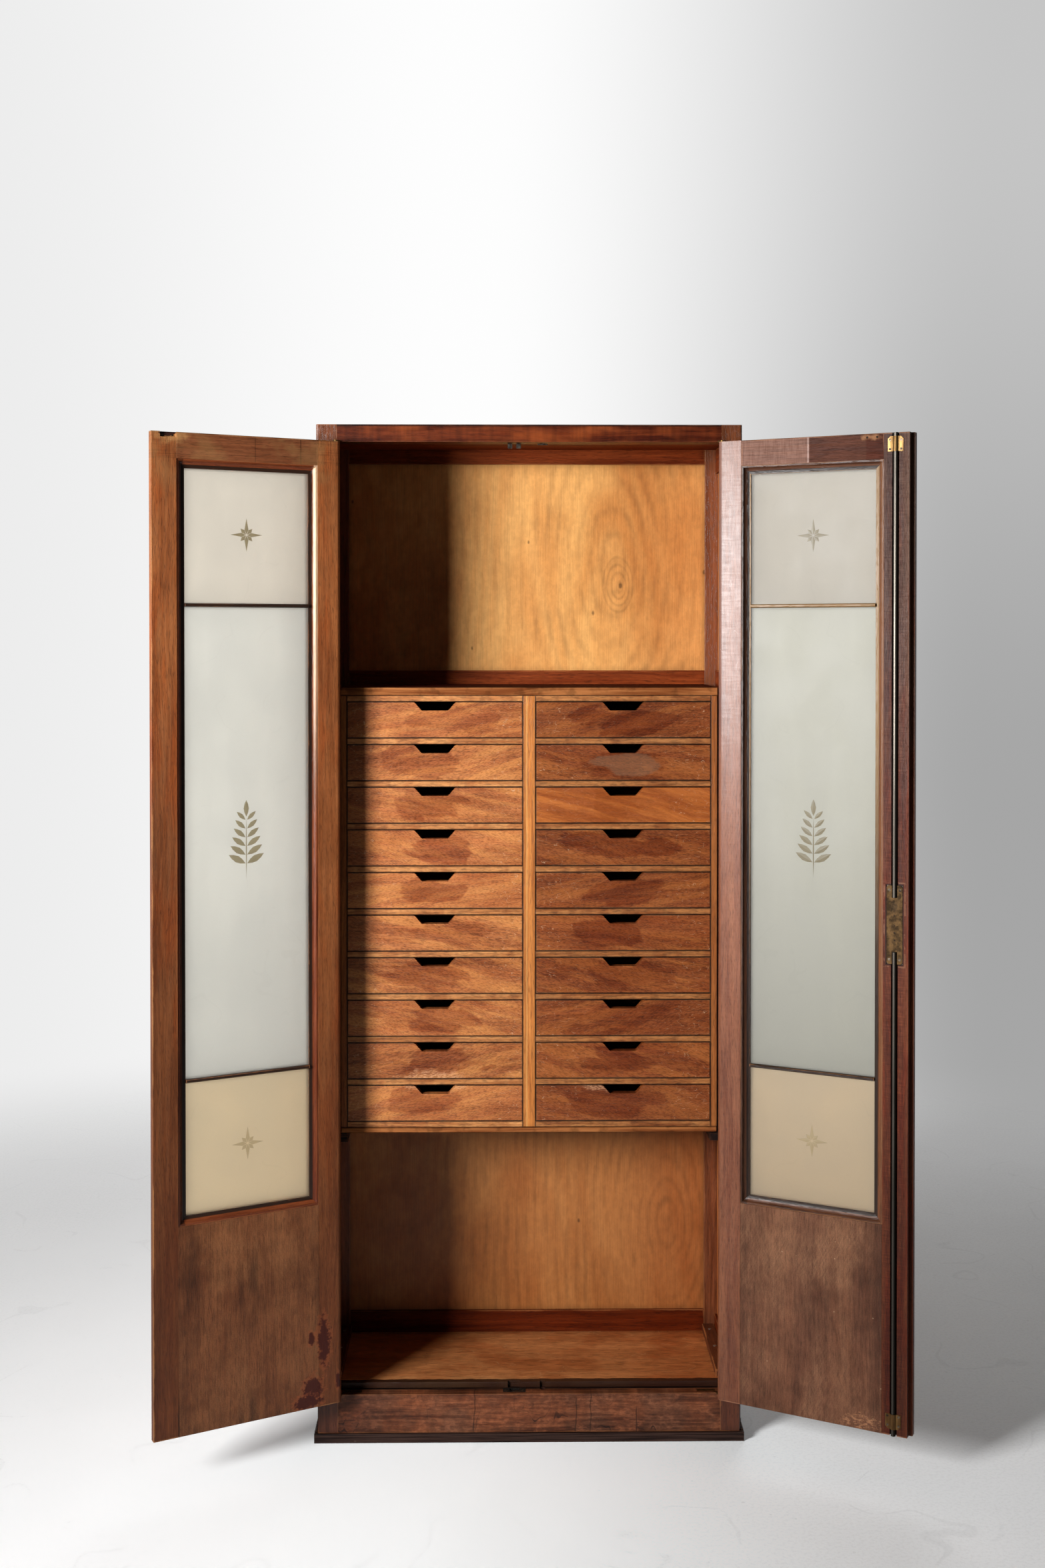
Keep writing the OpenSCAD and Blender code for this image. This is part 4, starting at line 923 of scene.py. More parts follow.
def putty(low_down, band_highlight, slope, bright, slope_side):
    """Marks of the glazing beads: a band of putty beside the glass, bars of the same colour, the band in a
    second colour higher up on the lit side as a painted highlight, a painted highlight on the lit slope and
    painted shade on the other."""

    def marks(g, colour, rough, place, figure):
        x, _, z = g.parts(place)
        out_x = g.most(g.minus(SIGHT_LO.x, x), g.minus(x, SIGHT_HI.x))
        out_z = g.most(g.minus(SIGHT_LO.z, z), g.minus(z, SIGHT_HI.z))
        out = g.most(out_x, out_z)
        band = g.step(out, 0.0062, 0.0072, 1.0, 0.0)
        low_x = g.step(x, SIGHT_LO.x + 0.006, SIGHT_LO.x + 0.007, 1.0, 0.0)
        high_x = g.step(x, SIGHT_HI.x - 0.007, SIGHT_HI.x - 0.006)
        lit, unlit = (low_x, high_x) if slope_side == LEFT else (high_x, low_x)
        # A painted highlight on the slope of the lit side, higher up.
        away = g.times(lit, g.step(out_x, 0.008, 0.0095))
        shine = g.times(away, g.times(g.step(z, *bright), g.step(figure["Fibres"], 0.0, 1.0, 0.7, 1.0)))
        colour = g.paint(colour, shine, 0.8, slope)
        inner = g.step(out, 0.002, 0.003, 1.0, 0.0)
        # The band's second colour, a painted highlight, on the lit side and in a thin line beside the glass,
        # higher up.
        beside = g.most(lit, inner)
        at_end = g.step(g.minus(out_z, g.most(out_x, 0.0)), 0.0, 0.001)
        pale = g.times(beside, g.minus(1.0, at_end), g.step(z, 0.9, 1.5))
        dark = g.mix(pale, low_down, band_highlight)
        colour = g.paint(colour, band, 0.9, dark)
        # Painted shade on the slope of the unlit side.
        return g.darker(colour, g.times(unlit, g.step(out_x, 0.003, 0.004)), 0.55), rough

    return marks


def plywood(name, dark, mid, light, rings=15.0, gloss=0.42, spread=0.04, arch=0.4, marks=None, **plain):
    """Rotary-cut plywood with arched figure."""
    material, g = new_material(name, Specular_IOR_Level=0.25, **plain)
    place = g.attribute("place")["Vector"]
    figure = g.use(PEELED, Position=g.attribute("grain")["Vector"], Rings=rings)
    colour = g.mix(figure["Clouds"], dark, mid)
    colour = g.paint(colour, figure["Arches"], arch, light)
    level = g.plus(1.0, g.sway(figure["Fibres"], 0.13))
    level = g.plus(level, g.times(g.attribute("tone")["Fac"], spread))
    colour = g.scaled(colour, level)
    edge = arrises(g, place, 1.0 * MM)
    # Darker near the board's edges: dirt and painted shade.
    colour = g.darker(colour, edge["Shaded"], 0.3)
    rough = g.plus(gloss, g.times(figure["Fibres"], 0.08))
    if marks:
        colour, rough = marks(g, colour, rough, place, figure)
    g.finish(g.scaled(colour, WOOD_LEVEL), rough, figure["Fibres"], 0.2, RELIEF_DEPTH)
    return material


KNOTS = (  # x, z, size
    (0.198, 1.694, 0.005), (0.14, 1.636, 0.004), (0.376, 1.723, 0.004), (0.003, 1.786, 0.003),
    (-0.37, 1.871, 0.003), (-0.117, 1.561, 0.003), (0.11, 0.34, 0.004),
)
RINGS = (  # x, z, width for a height of one, distance apart, reach, darkness
    (0.185, 1.74, 0.42, 0.026, 0.23, 0.2),
    (0.198, 1.69, 0.55, 0.009, 0.034, 0.2),
    (-0.42, 1.7, 0.2, 0.03, 0.6, 0.12),
    (0.3, 0.33, 0.45, 0.021, 0.62, 0.2),
)


def back_marks(g, colour, rough, place, figure):
    """Small knots and rings round them, grime, and redder wood towards its right; low in the back redder and
    darker, partly the wood and partly painted shade where the lamp's light falls off.
    """
    x, _, z = g.parts(place)
    knot_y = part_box("back_panels")[0].y
    for knot_x, knot_z, size in KNOTS:
        knot = spot(g, place, knot_y, (knot_x, knot_z), (size, size * 1.7), 0.8, 0.7)
        colour = g.darker(colour, knot, 0.6)
    wander = g.sway(g.noise(g.stretch(place, 4.5, 1, 2.6), 1, 3, 0.42), 0.075)
    fading = g.step(g.noise(g.vector("ADD", place, (4.0, 0, 2.0)), 7, 3, 0.6), 0.36, 0.62)
    for ring_x, ring_z, narrow, apart, size, share in RINGS:
        off = g.vector("MULTIPLY", g.vector("SUBTRACT", place, (ring_x, 0, ring_z)), (1, 0, narrow))
        distance = g.plus(g.vector("LENGTH", off), wander)
        rings = g.step(g.math("PINGPONG", g.over(distance, apart), 0.5), 0.14, 0.5)
        near = g.times(g.step(distance, size * 0.6, size, 1.0, 0.0), fading)
        colour = g.darker(colour, g.times(rings, near), share)
    flecks = g.cloud(place, (150, 1, 22), 3, 0.6, 0.54, 0.68)
    colour = g.darker(colour, flecks, 0.09)
    speckle = g.cloud(place, (90, 1, 60), 4, 0.7, 0.4, 0.62, 0.93, 1.05)
    colour = g.scaled(colour, speckle)
    grime = g.patches(g.stretch(place, 1, 1, 0.6), 6, 0.46, 0.66)
    colour = g.stain(colour, grime, 0.7, (0.8, 0.7, 0.6, 1))
    smoky = g.times(g.step(x, -0.17, -0.1, 1.0, 0.0), g.patches(g.stretch(place, 1, 1, 0.7), 9, 0.4, 0.6))
    colour = g.stain(colour, smoky, 0.8, (0.78, 0.66, 0.58, 1))
    right = g.step(x, 0.1, 0.36)
    colour = g.stain(colour, right, 1.0, (0.84, 0.74, 0.7, 1))
    # Redder and darker low down: partly the wood and partly painted shade where the lamp's light falls off.
    low = g.step(z, 0.5, 1.5, 1.0, 0.0)
    return g.stain(colour, low, 1.0, (0.56, 0.43, 0.4, 1)), rough


def side_marks(g, colour, rough, place, figure):
    """Fine flecks, cloudy old polish and a few scratches, darker towards the floor."""
    z = g.parts(place)[2]
    flecks = g.cloud(place, (1, 130, 18), 3, 0.6, 0.5, 0.66)
    colour = g.darker(colour, flecks, 0.16)
    cloudy = g.patches(g.stretch(place, 1, 1, 0.6), 7, 0.42, 0.64)
    colour = g.stain(colour, cloudy, 0.7, (0.76, 0.66, 0.6, 1))
    scuff = g.use(SCUFFS, Position=g.stretch(place, 1, 1, 0.6), Scale=13.0, Amount=0.8)
    colour = g.paint(colour, scuff["Scratches"], 0.25, tone(226, 170, 112))
    return g.stain(colour, g.step(z, 0.1, 0.7, 1.0, 0.0), 1.0, (0.74, 0.64, 0.6, 1)), rough


def metal(name, dark, light, gloss, metallic=1.0, streak=(1, 1, 1), pits=0.5, specular=0.5, marks=None):
    """Old metal: tarnish in clouds, fine streaks and pits."""
    material, g = new_material(name, Metallic=metallic, Specular_IOR_Level=specular)
    place = g.attribute("place")["Vector"]
    drawn = g.stretch(place, *streak)
    clouds = g.step(g.noise(drawn, 90, 4, 0.6), 0.35, 0.65)
    lines = g.noise(drawn, 400, 2)
    colour = g.mix(clouds, dark, light)
    colour = g.scaled(colour, g.step(lines, 0.3, 0.7, 0.85, 1.1))
    pitted = g.step(g.noise(place, 900, 2), 0.6, 0.75)
    colour = g.darker(colour, pitted, pits)
    if marks:
        colour = marks(g, colour, place)
    rough = g.plus(gloss, g.times(g.minus(1.0, clouds), 0.18))
    g.finish(colour, rough, g.minus(lines, pitted), 0.25, 0.2 * MM)
    return material


def rod_marks(g, colour, place):
    """A painted highlight along a narrow line down the middle, painted shade beside it, and darker low down,
    also painted shade.
    """
    x, _, z = g.parts(place)
    off = g.away(g.minus(x, ROD_X - 0.8 * MM))
    # A painted highlight down the middle and painted shade beside it, darker low down as painted shade.
    rubbed = g.step(off, 1.2 * MM, 2.8 * MM, 1.0, 0.3)
    return g.scaled(colour, g.times(rubbed, g.step(z, 0.4, 1.5, 0.4, 1.0)))


DENTS = (0.017, -0.0015, -0.015, -0.029)  # heights from the middle of the lock cover


def cover_marks(g, colour, place):
    """Dents down the middle of the lock cover, and dark old finger marks."""
    middle = (COVER_LO.z + COVER_HI.z) / 2
    for up in DENTS:
        dent = spot(g, place, DOOR_T, (ROD_X, middle + up), (0.0022, 0.0026), 0.5, 0.6, deep=0.01)
        colour = g.darker(colour, dent, 0.7)
    cloud = spot(g, place, DOOR_T, (ROD_X, middle + 0.034), (0.009, 0.014), 0.9, 0.8)
    return g.darker(colour, cloud, 0.45)


def etched_glass(name, upper, middle, lower):
    """Etched glass: it scatters what lies behind it, a little cloudy, each pane with a colour of its own,
    partly its tint and partly painted light that evens out the light each pane gets.
    """
    material, g = new_material(name, IOR=1.5, Transmission_Weight=0.88, Metallic=0.0, Specular_IOR_Level=0.3)
    place = g.attribute("place")["Vector"]
    low, high = g.attribute("low")["Vector"], g.attribute("high")["Vector"]
    near = g.parts(g.vector("MINIMUM", low, high))
    border = g.step(g.least(near[0], near[2]), 0.01, 0.06, 1.0, 0.0)
    clouds = g.step(g.noise(place, 5, 3, 0.6), 0.35, 0.65)
    z = g.parts(place)[2]
    # The panes' colours: partly their tint and partly painted light that evens out the light each pane gets.
    colour = g.mix(g.step(z, BAR_TOP, BAR_TOP + 0.002), middle, upper)
    colour = g.mix(g.step(z, BAR_LOW - 0.002, BAR_LOW, 1.0, 0.0), colour, lower)
    colour = g.paint(colour, border, 0.25, g.scaled(colour, 0.85))
    wiped = g.cloud(place, (9, 1, 2.2), 3, 0.6, 0.45, 0.7, 0.95, 1.0)
    smear = g.use(SCUFFS, Position=place, Scale=7.0, Amount=0.9)["Scratches"]
    wiped = g.times(wiped, g.step(smear, 0.0, 1.0, 1.0, 0.97))
    grit = g.noise(place, 700, 2)
    level = g.times(g.step(clouds, 0.0, 1.0, 0.96, 1.0), g.step(grit, 0.3, 0.7, 0.97, 1.0))
    colour = g.scaled(colour, g.times(wiped, level))
    g.finish(colour, g.step(clouds, 0.0, 1.0, 0.55, 0.62), grit, 0.08, 0.3 * MM)
    return material


def etching(name, colour):
    """Clear-cut glass of the ornaments: darker and smoother than the etched ground."""
    material, g = new_material(name, IOR=1.5, Transmission_Weight=0.6, Metallic=0.0, Specular_IOR_Level=0.2)
    place = g.attribute("place")["Vector"]
    cloud = g.noise(place, 40, 3)
    z = g.parts(place)[2]
    # Paler on the lowest pane, partly painted light as on the etched ground.
    bottom = g.step(z, BAR_LOW - 0.002, BAR_LOW, 1.0, 0.0)
    colour = g.paint(colour, bottom, 0.6, tone(208, 188, 150))
    shader = material.node_tree.nodes["Principled BSDF"].inputs
    g.feed(shader["Base Color"], g.scaled(colour, g.step(cloud, 0.3, 0.7, 0.93, 1.0)))
    g.feed(shader["Roughness"], g.step(cloud, 0.3, 0.7, 0.42, 0.5))
    return material


# Making pieces


TOUCH = 0.02 * MM  # corners this near are one
SLIGHT, SMALL, USUAL, BLUNT = 0.3 * MM, 0.4 * MM, 0.8 * MM, 1.5 * MM  # how far an arris is rounded
LEAST_TURN = 0.5  # radians between the faces of an edge that is rounded


def boards_of(node):
    """A CAD node's solids with their corners merged and their flat faces whole."""
    bm = bmesh.new()
    bm.from_mesh(nodes[node].data)
    bmesh.ops.remove_doubles(bm, verts=bm.verts, dist=TOUCH)
    bmesh.ops.dissolve_limit(bm, angle_limit=math.radians(0.5), verts=bm.verts, edges=bm.edges)
    bmesh.ops.recalc_face_normals(bm, faces=bm.faces)
    return bm


def separate(bm):
    """The corners of each board of a mesh."""
    left = set(bm.verts)
    while left:
        start = min(left, key=lambda v: v.index)
        found, edge = {start}, [start]
        while edge:
            for link in edge.pop().link_edges:
                for v in link.verts:
                    if v not in found:
                        found.add(v)
                        edge.append(v)
        left -= found
        yield sorted(found, key=lambda v: v.index)


def put_in_order(elements, key):
    """Sorts a mesh's corners, edges or faces."""
    rank = {element: number for number, element in enumerate(sorted(elements, key=key))}
    elements.sort(key=rank.get)
    elements.index_update()


def settle(bm):
    """Puts corners, edges and faces in an order that is the same each run, board by board. Rounding
    leaves it to chance."""
    bm.verts.index_update()
    board_of = {v: number for number, board in enumerate(separate(bm)) for v in board}
    put_in_order(bm.verts, lambda v: (board_of[v], *[round(c, 6) for c in v.co]))
    for elements in (bm.edges, bm.faces):
        put_in_order(elements, lambda e: sorted(v.index for v in e.verts))


def round_arrises(bm, place, width, walls):
    """Rounds the arrises of each board that lie in at least so many of its outer planes."""
    bm.verts.index_update()
    least = 2.5 * width
    for board in list(separate(bm)):
        at = {v: place(v.co) for v in board}
        lo, hi = reach(list(at.values()))
        if min(hi - lo) < least:
            continue
        chosen = []
        for e in dict.fromkeys(e for v in board for e in v.link_edges):
            if not e.is_manifold or e.calc_face_angle(0) < LEAST_TURN or e.calc_length() < least:
                continue
            a, b = (at[v] for v in e.verts)
            off = [max(abs(a[i] - wall[i]), abs(b[i] - wall[i])) for i in range(3) for wall in (lo, hi)]
            if sum(distance < TOUCH for distance in off) >= walls:
                chosen.append(e)
        if chosen:
            bmesh.ops.bevel(
                bm, geom=chosen, offset=width, segments=2, profile=0.5, affect="EDGES", clamp_overlap=True
            )
    settle(bm)


OWN_TONE = {"drawer_right_01": -0.9, "drawer_right_03": 0.9, "drawer_right_04": -1.0, "drawer_left_10": 0.2}


def label_boards(bm, place, along, name):
    """Stores on each corner its place, its place along the grain, its distances to its board's
    faces, and a tone of the board's own."""
    layers = {key: bm.verts.layers.float_vector.new(key) for key in ("place", "grain", "low", "high")}
    shade = bm.verts.layers.float.new("tone")
    bm.verts.index_update()
    for number, board in enumerate(separate(bm)):
        chance = random.Random(f"{name} {number}")
        lo, hi = reach([place(v.co) for v in board])
        size = hi - lo
        first = "xyz".index(along) if along else max(range(3), key=lambda i: size[i])
        order = [first] + [i for i in range(3) if i != first]
        start = Vector(chance.uniform(0, 9) for _ in range(3))
        own = OWN_TONE.get(name, chance.uniform(-0.6, 0.6))
        for v in board:
            p = place(v.co)
            v[layers["place"]] = p
            v[layers["grain"]] = Vector(p[i] for i in order) + start
            v[layers["low"]] = p - lo
            v[layers["high"]] = hi - p
            v[shade] = own


TINY = 1e-12  # a sum of normals and areas that points nowhere


def soften_shading(mesh, turn=math.radians(50)):
    """Shades every corner with the mean of the faces it meets softly, the large ones counting most."""
    limit = math.cos(turn)
    meeting = {}
    for face in mesh.polygons:
        for corner in face.vertices:
            meeting.setdefault(corner, []).append(face.index)
    facing = [face.normal.copy() for face in mesh.polygons]
    area = [face.area for face in mesh.polygons]
    normals = []
    for face in mesh.polygons:
        own = facing[face.index]
        for corner in face.vertices:
            total = Vector((0, 0, 0))
            for other in meeting[corner]:
                if own.dot(facing[other]) > limit:
                    total += facing[other] * area[other]
            normals.append(total.normalized() if total.length > TINY else own)
    mesh.shade_smooth()
    mesh.normals_split_custom_set(normals)


def add_object(name, mesh, materials, body):
    """A piece of the scene that rides on a body."""
    made = bpy.data.objects.new(name, mesh)
    scene.collection.objects.link(made)
    for material in materials:
        mesh.materials.append(material)
    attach(made, body)
    return made


def dress(node, slot, *materials, side=0, along=None, width=USUAL, walls=2, choose=None):
    """Makes the finished piece of a CAD node: arrises rounded, grain laid along each board."""
    place = on_leaf(side) if side else Vector
    bm = boards_of(node)
    if width:
        round_arrises(bm, place, width, walls)
    label_boards(bm, place, along, node)
    if choose:
        bm.verts.index_update()
        for board in separate(bm):
            number = choose(*reach([place(v.co) for v in board]))
            for face in {f for v in board for f in v.link_faces}:
                face.material_index = number
    mesh = bpy.data.meshes.new(node + "_finished")
    bm.to_mesh(mesh)
    bm.free()
    soften_shading(mesh)
    made = add_object(node + "_finished", mesh, materials, nodes[node]["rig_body"])
    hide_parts(node)
    return made


# Finishes of this cabinet

RUBBED = tone(190, 122, 72)

post_wood = sawn_wood(
    "post_polish", tone(96, 48, 24), tone(122, 66, 38), tone(142, 82, 50), gloss=0.3, streak=0.5,
    worn=RUBBED, worn_width=0.0012, worn_share=0.25, marks=post_marks, Coat_Weight=0.15,
    Coat_Roughness=0.25,
)
head_wood = sawn_wood(
    "head_rail_polish", tone(60, 16, 3), tone(86, 32, 9), tone(116, 50, 18), gloss=0.4, wave=0.8,
    worn=tone(128, 76, 46), worn_share=0.3, specular=0.12, marks=head_marks, Coat_Weight=0.06,
    Coat_Roughness=0.2,
)
frame_wood = sawn_wood(
    "frame_stain", tone(98, 36, 9), tone(122, 50, 17), tone(146, 68, 28), gloss=0.5,
    worn=RUBBED, worn_share=0.3, specular=0.08, marks=frame_marks,
)
plinth_wood = sawn_wood(
    "plinth_worn", tone(70, 36, 20), tone(102, 58, 36), tone(128, 80, 54), gloss=0.42, fineness=1.3,
    worn=RUBBED, worn_width=0.0015, worn_share=0.18, marks=plinth_marks,
)
base_wood = sawn_wood(
    "base_strip_stain", tone(22, 10, 6), tone(36, 20, 15), tone(50, 30, 24), gloss=0.45, shade=0.3,
    specular=0.12, marks=base_marks,
)
sill_wood = sawn_wood(
    "sill_dark", tone(14, 6, 4), tone(24, 11, 7), tone(38, 19, 13), gloss=0.5, specular=0.1,
    worn=tone(110, 66, 40), worn_share=0.25, marks=sill_marks,
)
floor_wood = sawn_wood(
    "floor_board_worn", tone(170, 104, 58), tone(190, 121, 70), tone(206, 137, 82), gloss=0.42, fineness=0.6,
    streak=0.35, depth=0.14, marks=floor_marks,
)
batten_wood = sawn_wood(
    "batten_stain", tone(64, 28, 13), tone(88, 42, 20), tone(112, 58, 30), gloss=0.4,
    worn=tone(180, 108, 56), worn_width=0.0018, worn_share=0.45,
)
# The nest's woods and the drawer fronts take a thin line of painted shade, with dirt, in the gaps at their
# edges.
nest_side_wood = sawn_wood(
    "nest_upright_wood", tone(176, 100, 46), tone(206, 126, 60), tone(232, 150, 74), gloss=0.4,
    gap_dirt_and_shade=0.8, marks=upright_marks,
)
nest_board_wood = sawn_wood(
    "nest_board_stain", tone(50, 12, 3), tone(72, 22, 5), tone(92, 34, 10), gloss=0.75, specular=0.03,
    gap_dirt_and_shade=0.5, marks=nest_board_marks,
)
nest_rail_wood = sawn_wood(
    "nest_rail_wood", tone(158, 96, 50), tone(188, 124, 70), tone(218, 154, 94), gloss=0.45, fineness=1.6,
    shade=0.0, gap_dirt_and_shade=0.75, marks=rail_marks,
)
front_wood = sawn_wood(
    "drawer_front_polish", tone(146, 80, 42), tone(172, 100, 56), tone(192, 120, 70), gloss=0.36, wave=0.6,
    streak=0.3, spread=0.18, worn=tone(226, 166, 110), worn_width=0.001, worn_share=0.3, shade=0.0,
    gap_dirt_and_shade=0.92, marks=drawer_marks, Coat_Weight=0.08, Coat_Roughness=0.25,
)
box_wood = sawn_wood(
    "drawer_box_wood", tone(168, 114, 66), tone(190, 136, 84), tone(206, 156, 104), gloss=0.55,
)
left_wood = sawn_wood(
    "left_door_wood", tone(136, 75, 39), tone(155, 91, 49), tone(172, 107, 61), gloss=0.42, fineness=1.2,
    streak=0.45, worn=tone(200, 140, 86), worn_share=0.4, shade=0.12, marks=left_door_marks,
)
left_panel_wood = sawn_wood(
    "left_door_panel_wood", tone(160, 98, 58), tone(176, 111, 67), tone(190, 127, 80), gloss=0.42,
    fineness=0.9, streak=0.4, depth=0.3, shade=0.12, marks=left_panel_marks,
)
right_wood = sawn_wood(
    "right_door_wood", tone(112, 62, 42), tone(134, 80, 54), tone(152, 98, 70), gloss=0.42, fineness=1.2,
    streak=0.45, worn=tone(180, 128, 96), worn_share=0.4, shade=0.12, specular=0.16,
    marks=right_stile_marks, Coat_Roughness=0.3,
)
right_head_wood = sawn_wood(
    "right_door_head_wood", tone(86, 50, 38), tone(102, 61, 45), tone(118, 77, 58), gloss=0.5, fineness=1.2,
    streak=0.4, worn=tone(180, 128, 96), worn_share=0.4, shade=0.1, specular=0.08, marks=right_head_marks,
)
right_panel_wood = sawn_wood(
    "right_door_panel_wood", tone(96, 59, 41), tone(116, 75, 52), tone(134, 92, 66), gloss=0.46, fineness=0.9,
    streak=0.3, depth=0.26, shade=0.12, specular=0.16, marks=right_panel_marks,
)
# Each putty: the band's colour, the band's painted highlight colour, the painted highlight on the lit slope,
# the heights of that highlight, and the lit side.
left_putty = putty(tone(30, 24, 18), tone(30, 24, 18), tone(232, 196, 158), (1.2, 1.75), LEFT)
right_putty = putty(tone(34, 24, 18), tone(140, 106, 62), tone(132, 86, 54), (0.3, 0.9), RIGHT)
left_bead_wood = sawn_wood(
    "left_bead_polish", tone(90, 38, 18), tone(122, 56, 28), tone(148, 78, 42), gloss=0.3,
    worn=tone(190, 120, 74), worn_width=0.001, worn_share=0.4, marks=left_putty,
    Coat_Weight=0.1, Coat_Roughness=0.2,
)
right_bead_wood = sawn_wood(
    "right_bead_polish", tone(70, 40, 26), tone(98, 58, 38), tone(124, 78, 52), gloss=0.34,
    worn=tone(176, 122, 78), worn_width=0.001, worn_share=0.4, marks=right_putty,
)
gold_ply = plywood(
    "back_plywood", tone(210, 144, 76), tone(226, 164, 92), tone(240, 190, 116), arch=0.16, marks=back_marks,
)
side_ply = plywood(
    "side_plywood", tone(186, 104, 46), tone(202, 120, 58), tone(216, 140, 76), rings=30.0, arch=0.22,
    marks=side_marks,
)
nest_ply = plywood("nest_back_plywood", tone(160, 104, 58), tone(184, 126, 74), tone(200, 146, 90))
# The doors' glass and ornaments differ in brightness partly as painted light, so that both doors' panes come
# out alike under the lamps.
left_glass = etched_glass("opal_glass_left", tone(228, 220, 205), tone(231, 229, 219), tone(240, 220, 184))
right_glass = etched_glass("opal_glass_right", tone(175, 168, 155), tone(185, 183, 170), tone(220, 198, 164))
left_cut = etching("ornament_glass_left", tone(140, 126, 94))
right_cut = etching("ornament_glass_right", tone(114, 100, 66))
old_steel = metal(
    "rod_steel", tone(96, 90, 83), tone(124, 117, 108), 0.44, streak=(1, 1, 0.02), pits=0.15,
    marks=rod_marks,
)
bright_steel = metal("batten_screw_steel", tone(140, 132, 120), tone(196, 190, 178), 0.35)
dark_steel = metal("keeper_steel", tone(50, 44, 40), tone(98, 90, 82), 0.42, pits=0.7)
old_brass = metal("hinge_brass", tone(66, 50, 30), tone(112, 88, 52), 0.42)
guide_brass = metal("guide_brass", tone(84, 60, 36), tone(150, 118, 74), 0.42, streak=(1, 1, 0.1), pits=0.3)
cover_brass = metal(
    "lock_cover_brass", tone(52, 36, 14), tone(92, 66, 32), 0.55, metallic=0.3, specular=0.2,
    marks=cover_marks,
)
screw_metal = metal("screw_metal", tone(50, 42, 34), tone(110, 98, 84), 0.4)


def box_part(lo, _):
    """Which material a board of a drawer takes: 0 for its front, 1 for the rest of it."""
    return 0 if lo.y < DRAWER_FRONT_Y + 1 * MM else 1


dress("posts", "red_wood", post_wood)
dress("head_rail", "red_wood", head_wood)
dress("top_board", "red_wood", frame_wood, along="x")
dress("side_rails", "red_wood", frame_wood)
dress("back_rails", "red_wood", frame_wood)
dress("side_panels", "plywood", side_ply, along="z", width=0)
dress("back_panels", "plywood", gold_ply, along="z", width=0)
dress("floor_board", "worn_wood", floor_wood, along="x", width=BLUNT)
dress("sill", "dark_wood", sill_wood)
dress("plinth_board", "red_wood", plinth_wood, width=BLUNT)
dress("base_strips", "dark_wood", base_wood)
dress("side_coves", "dark_wood", base_wood)
dress("floor_battens", "red_wood", batten_wood, width=BLUNT)
dress("bearers", "dark_wood", sill_wood)
dress("nest_uprights", "nest_wood", nest_side_wood)
dress("nest_boards", "nest_wood", nest_board_wood)
dress("nest_rails", "nest_wood", nest_rail_wood)
dress("nest_runners", "worn_wood", box_wood)
dress("nest_back", "plywood", nest_ply, along="x", width=0)
for name in sorted(n for n in nodes if n.startswith("drawer_")):
    dress(name, "drawer_wood", front_wood, box_wood, choose=box_part)
for side, word, wood, panel, bead, glass in (
    (LEFT, "left", left_wood, left_panel_wood, left_bead_wood, left_glass),
    (RIGHT, "right", right_wood, right_panel_wood, right_bead_wood, right_glass),
):
    dress(word + "_stiles", "door_wood", wood, side=side)
    dress(word + "_head", "door_wood", wood if side == LEFT else right_head_wood, side=side)
    dress(word + "_panel", "door_wood", panel, side=side, along="z")
    dress(word + "_beads", "door_wood", bead, side=side, width=SMALL)
    dress(word + "_panes", "opal_glass", glass, side=side, width=SMALL)
    dress(word + "_pivots", "brass", old_brass, side=side, width=SMALL)
dress("fixed_pivots", "brass", old_brass, width=SMALL)
dress("keepers", "steel", dark_steel, width=SMALL)
dress("lock_case", "steel", dark_steel, side=RIGHT, width=SLIGHT)
dress("lock_pinion", "steel", old_steel, side=RIGHT, width=0)
dress("upper_rod", "steel", old_steel, side=RIGHT, width=0)
dress("lower_rod", "steel", old_steel, side=RIGHT, width=0)
dress("lock_cover", "brass", cover_brass, side=RIGHT, width=SMALL, walls=1)
dress("rod_guides", "brass", guide_brass, side=RIGHT, width=SLIGHT)


# Ornaments on the panes


def pane_piece(name, side, shapes, material, lift):
    """Low shapes on the inner face of a pane. Each is a ring of (x, z) points and a ridge."""
    bm = bmesh.new()
    layer = bm.verts.layers.float_vector.new("place")
    for ring, ridge in shapes:
        corners = []
        for x, z, up in [(x, z, 0) for x, z in ring] + [(x, z, lift) for x, z in ridge]:
            v = bm.verts.new(leaf_point(side, x, PANE_Y + 0.05 * MM + up, z))
            v[layer] = Vector((x, PANE_Y, z))
            corners.append(v)
        rim, top = corners[: len(ring)], corners[len(ring):]
        if len(top) == 1:
            for a, b in zip(rim, rim[1:] + rim[:1]):
                bm.faces.new((a, b, top[0]))
        else:
            half = len(rim) // 2
            bm.faces.new(rim[1:half] + [top[1], top[0]])
            bm.faces.new(rim[half + 1:] + [top[0], top[1]])
            bm.faces.new((rim[0], rim[1], top[0]))
            bm.faces.new((rim[-1], rim[0], top[0]))
            bm.faces.new((rim[half - 1], rim[half], top[1]))
            bm.faces.new((rim[half], rim[half + 1], top[1]))
    out = leaf_out(side)
    for face in bm.faces:
        face.normal_update()
        if face.normal.dot(out) < 0:
            face.normal_flip()
    mesh = bpy.data.meshes.new(name)
    bm.to_mesh(mesh)
    bm.free()
    return add_object(name, mesh, [material], "left_door" if side == LEFT else "right_door")


def kite(centre, angle, near, wide_at, wide, tip):
    """A ray of the star: four corners and the ridge's middle."""
    ax, az = math.cos(angle), math.sin(angle)
    corners = [(near, 0), (wide_at, wide), (tip, 0), (wide_at, -wide)]
    ring = [(centre[0] + a * ax - b * az, centre[1] + a * az + b * ax) for a, b in corners]
    top = (centre[0] + wide_at * ax, centre[1] + wide_at * az)
    return ring, [top]


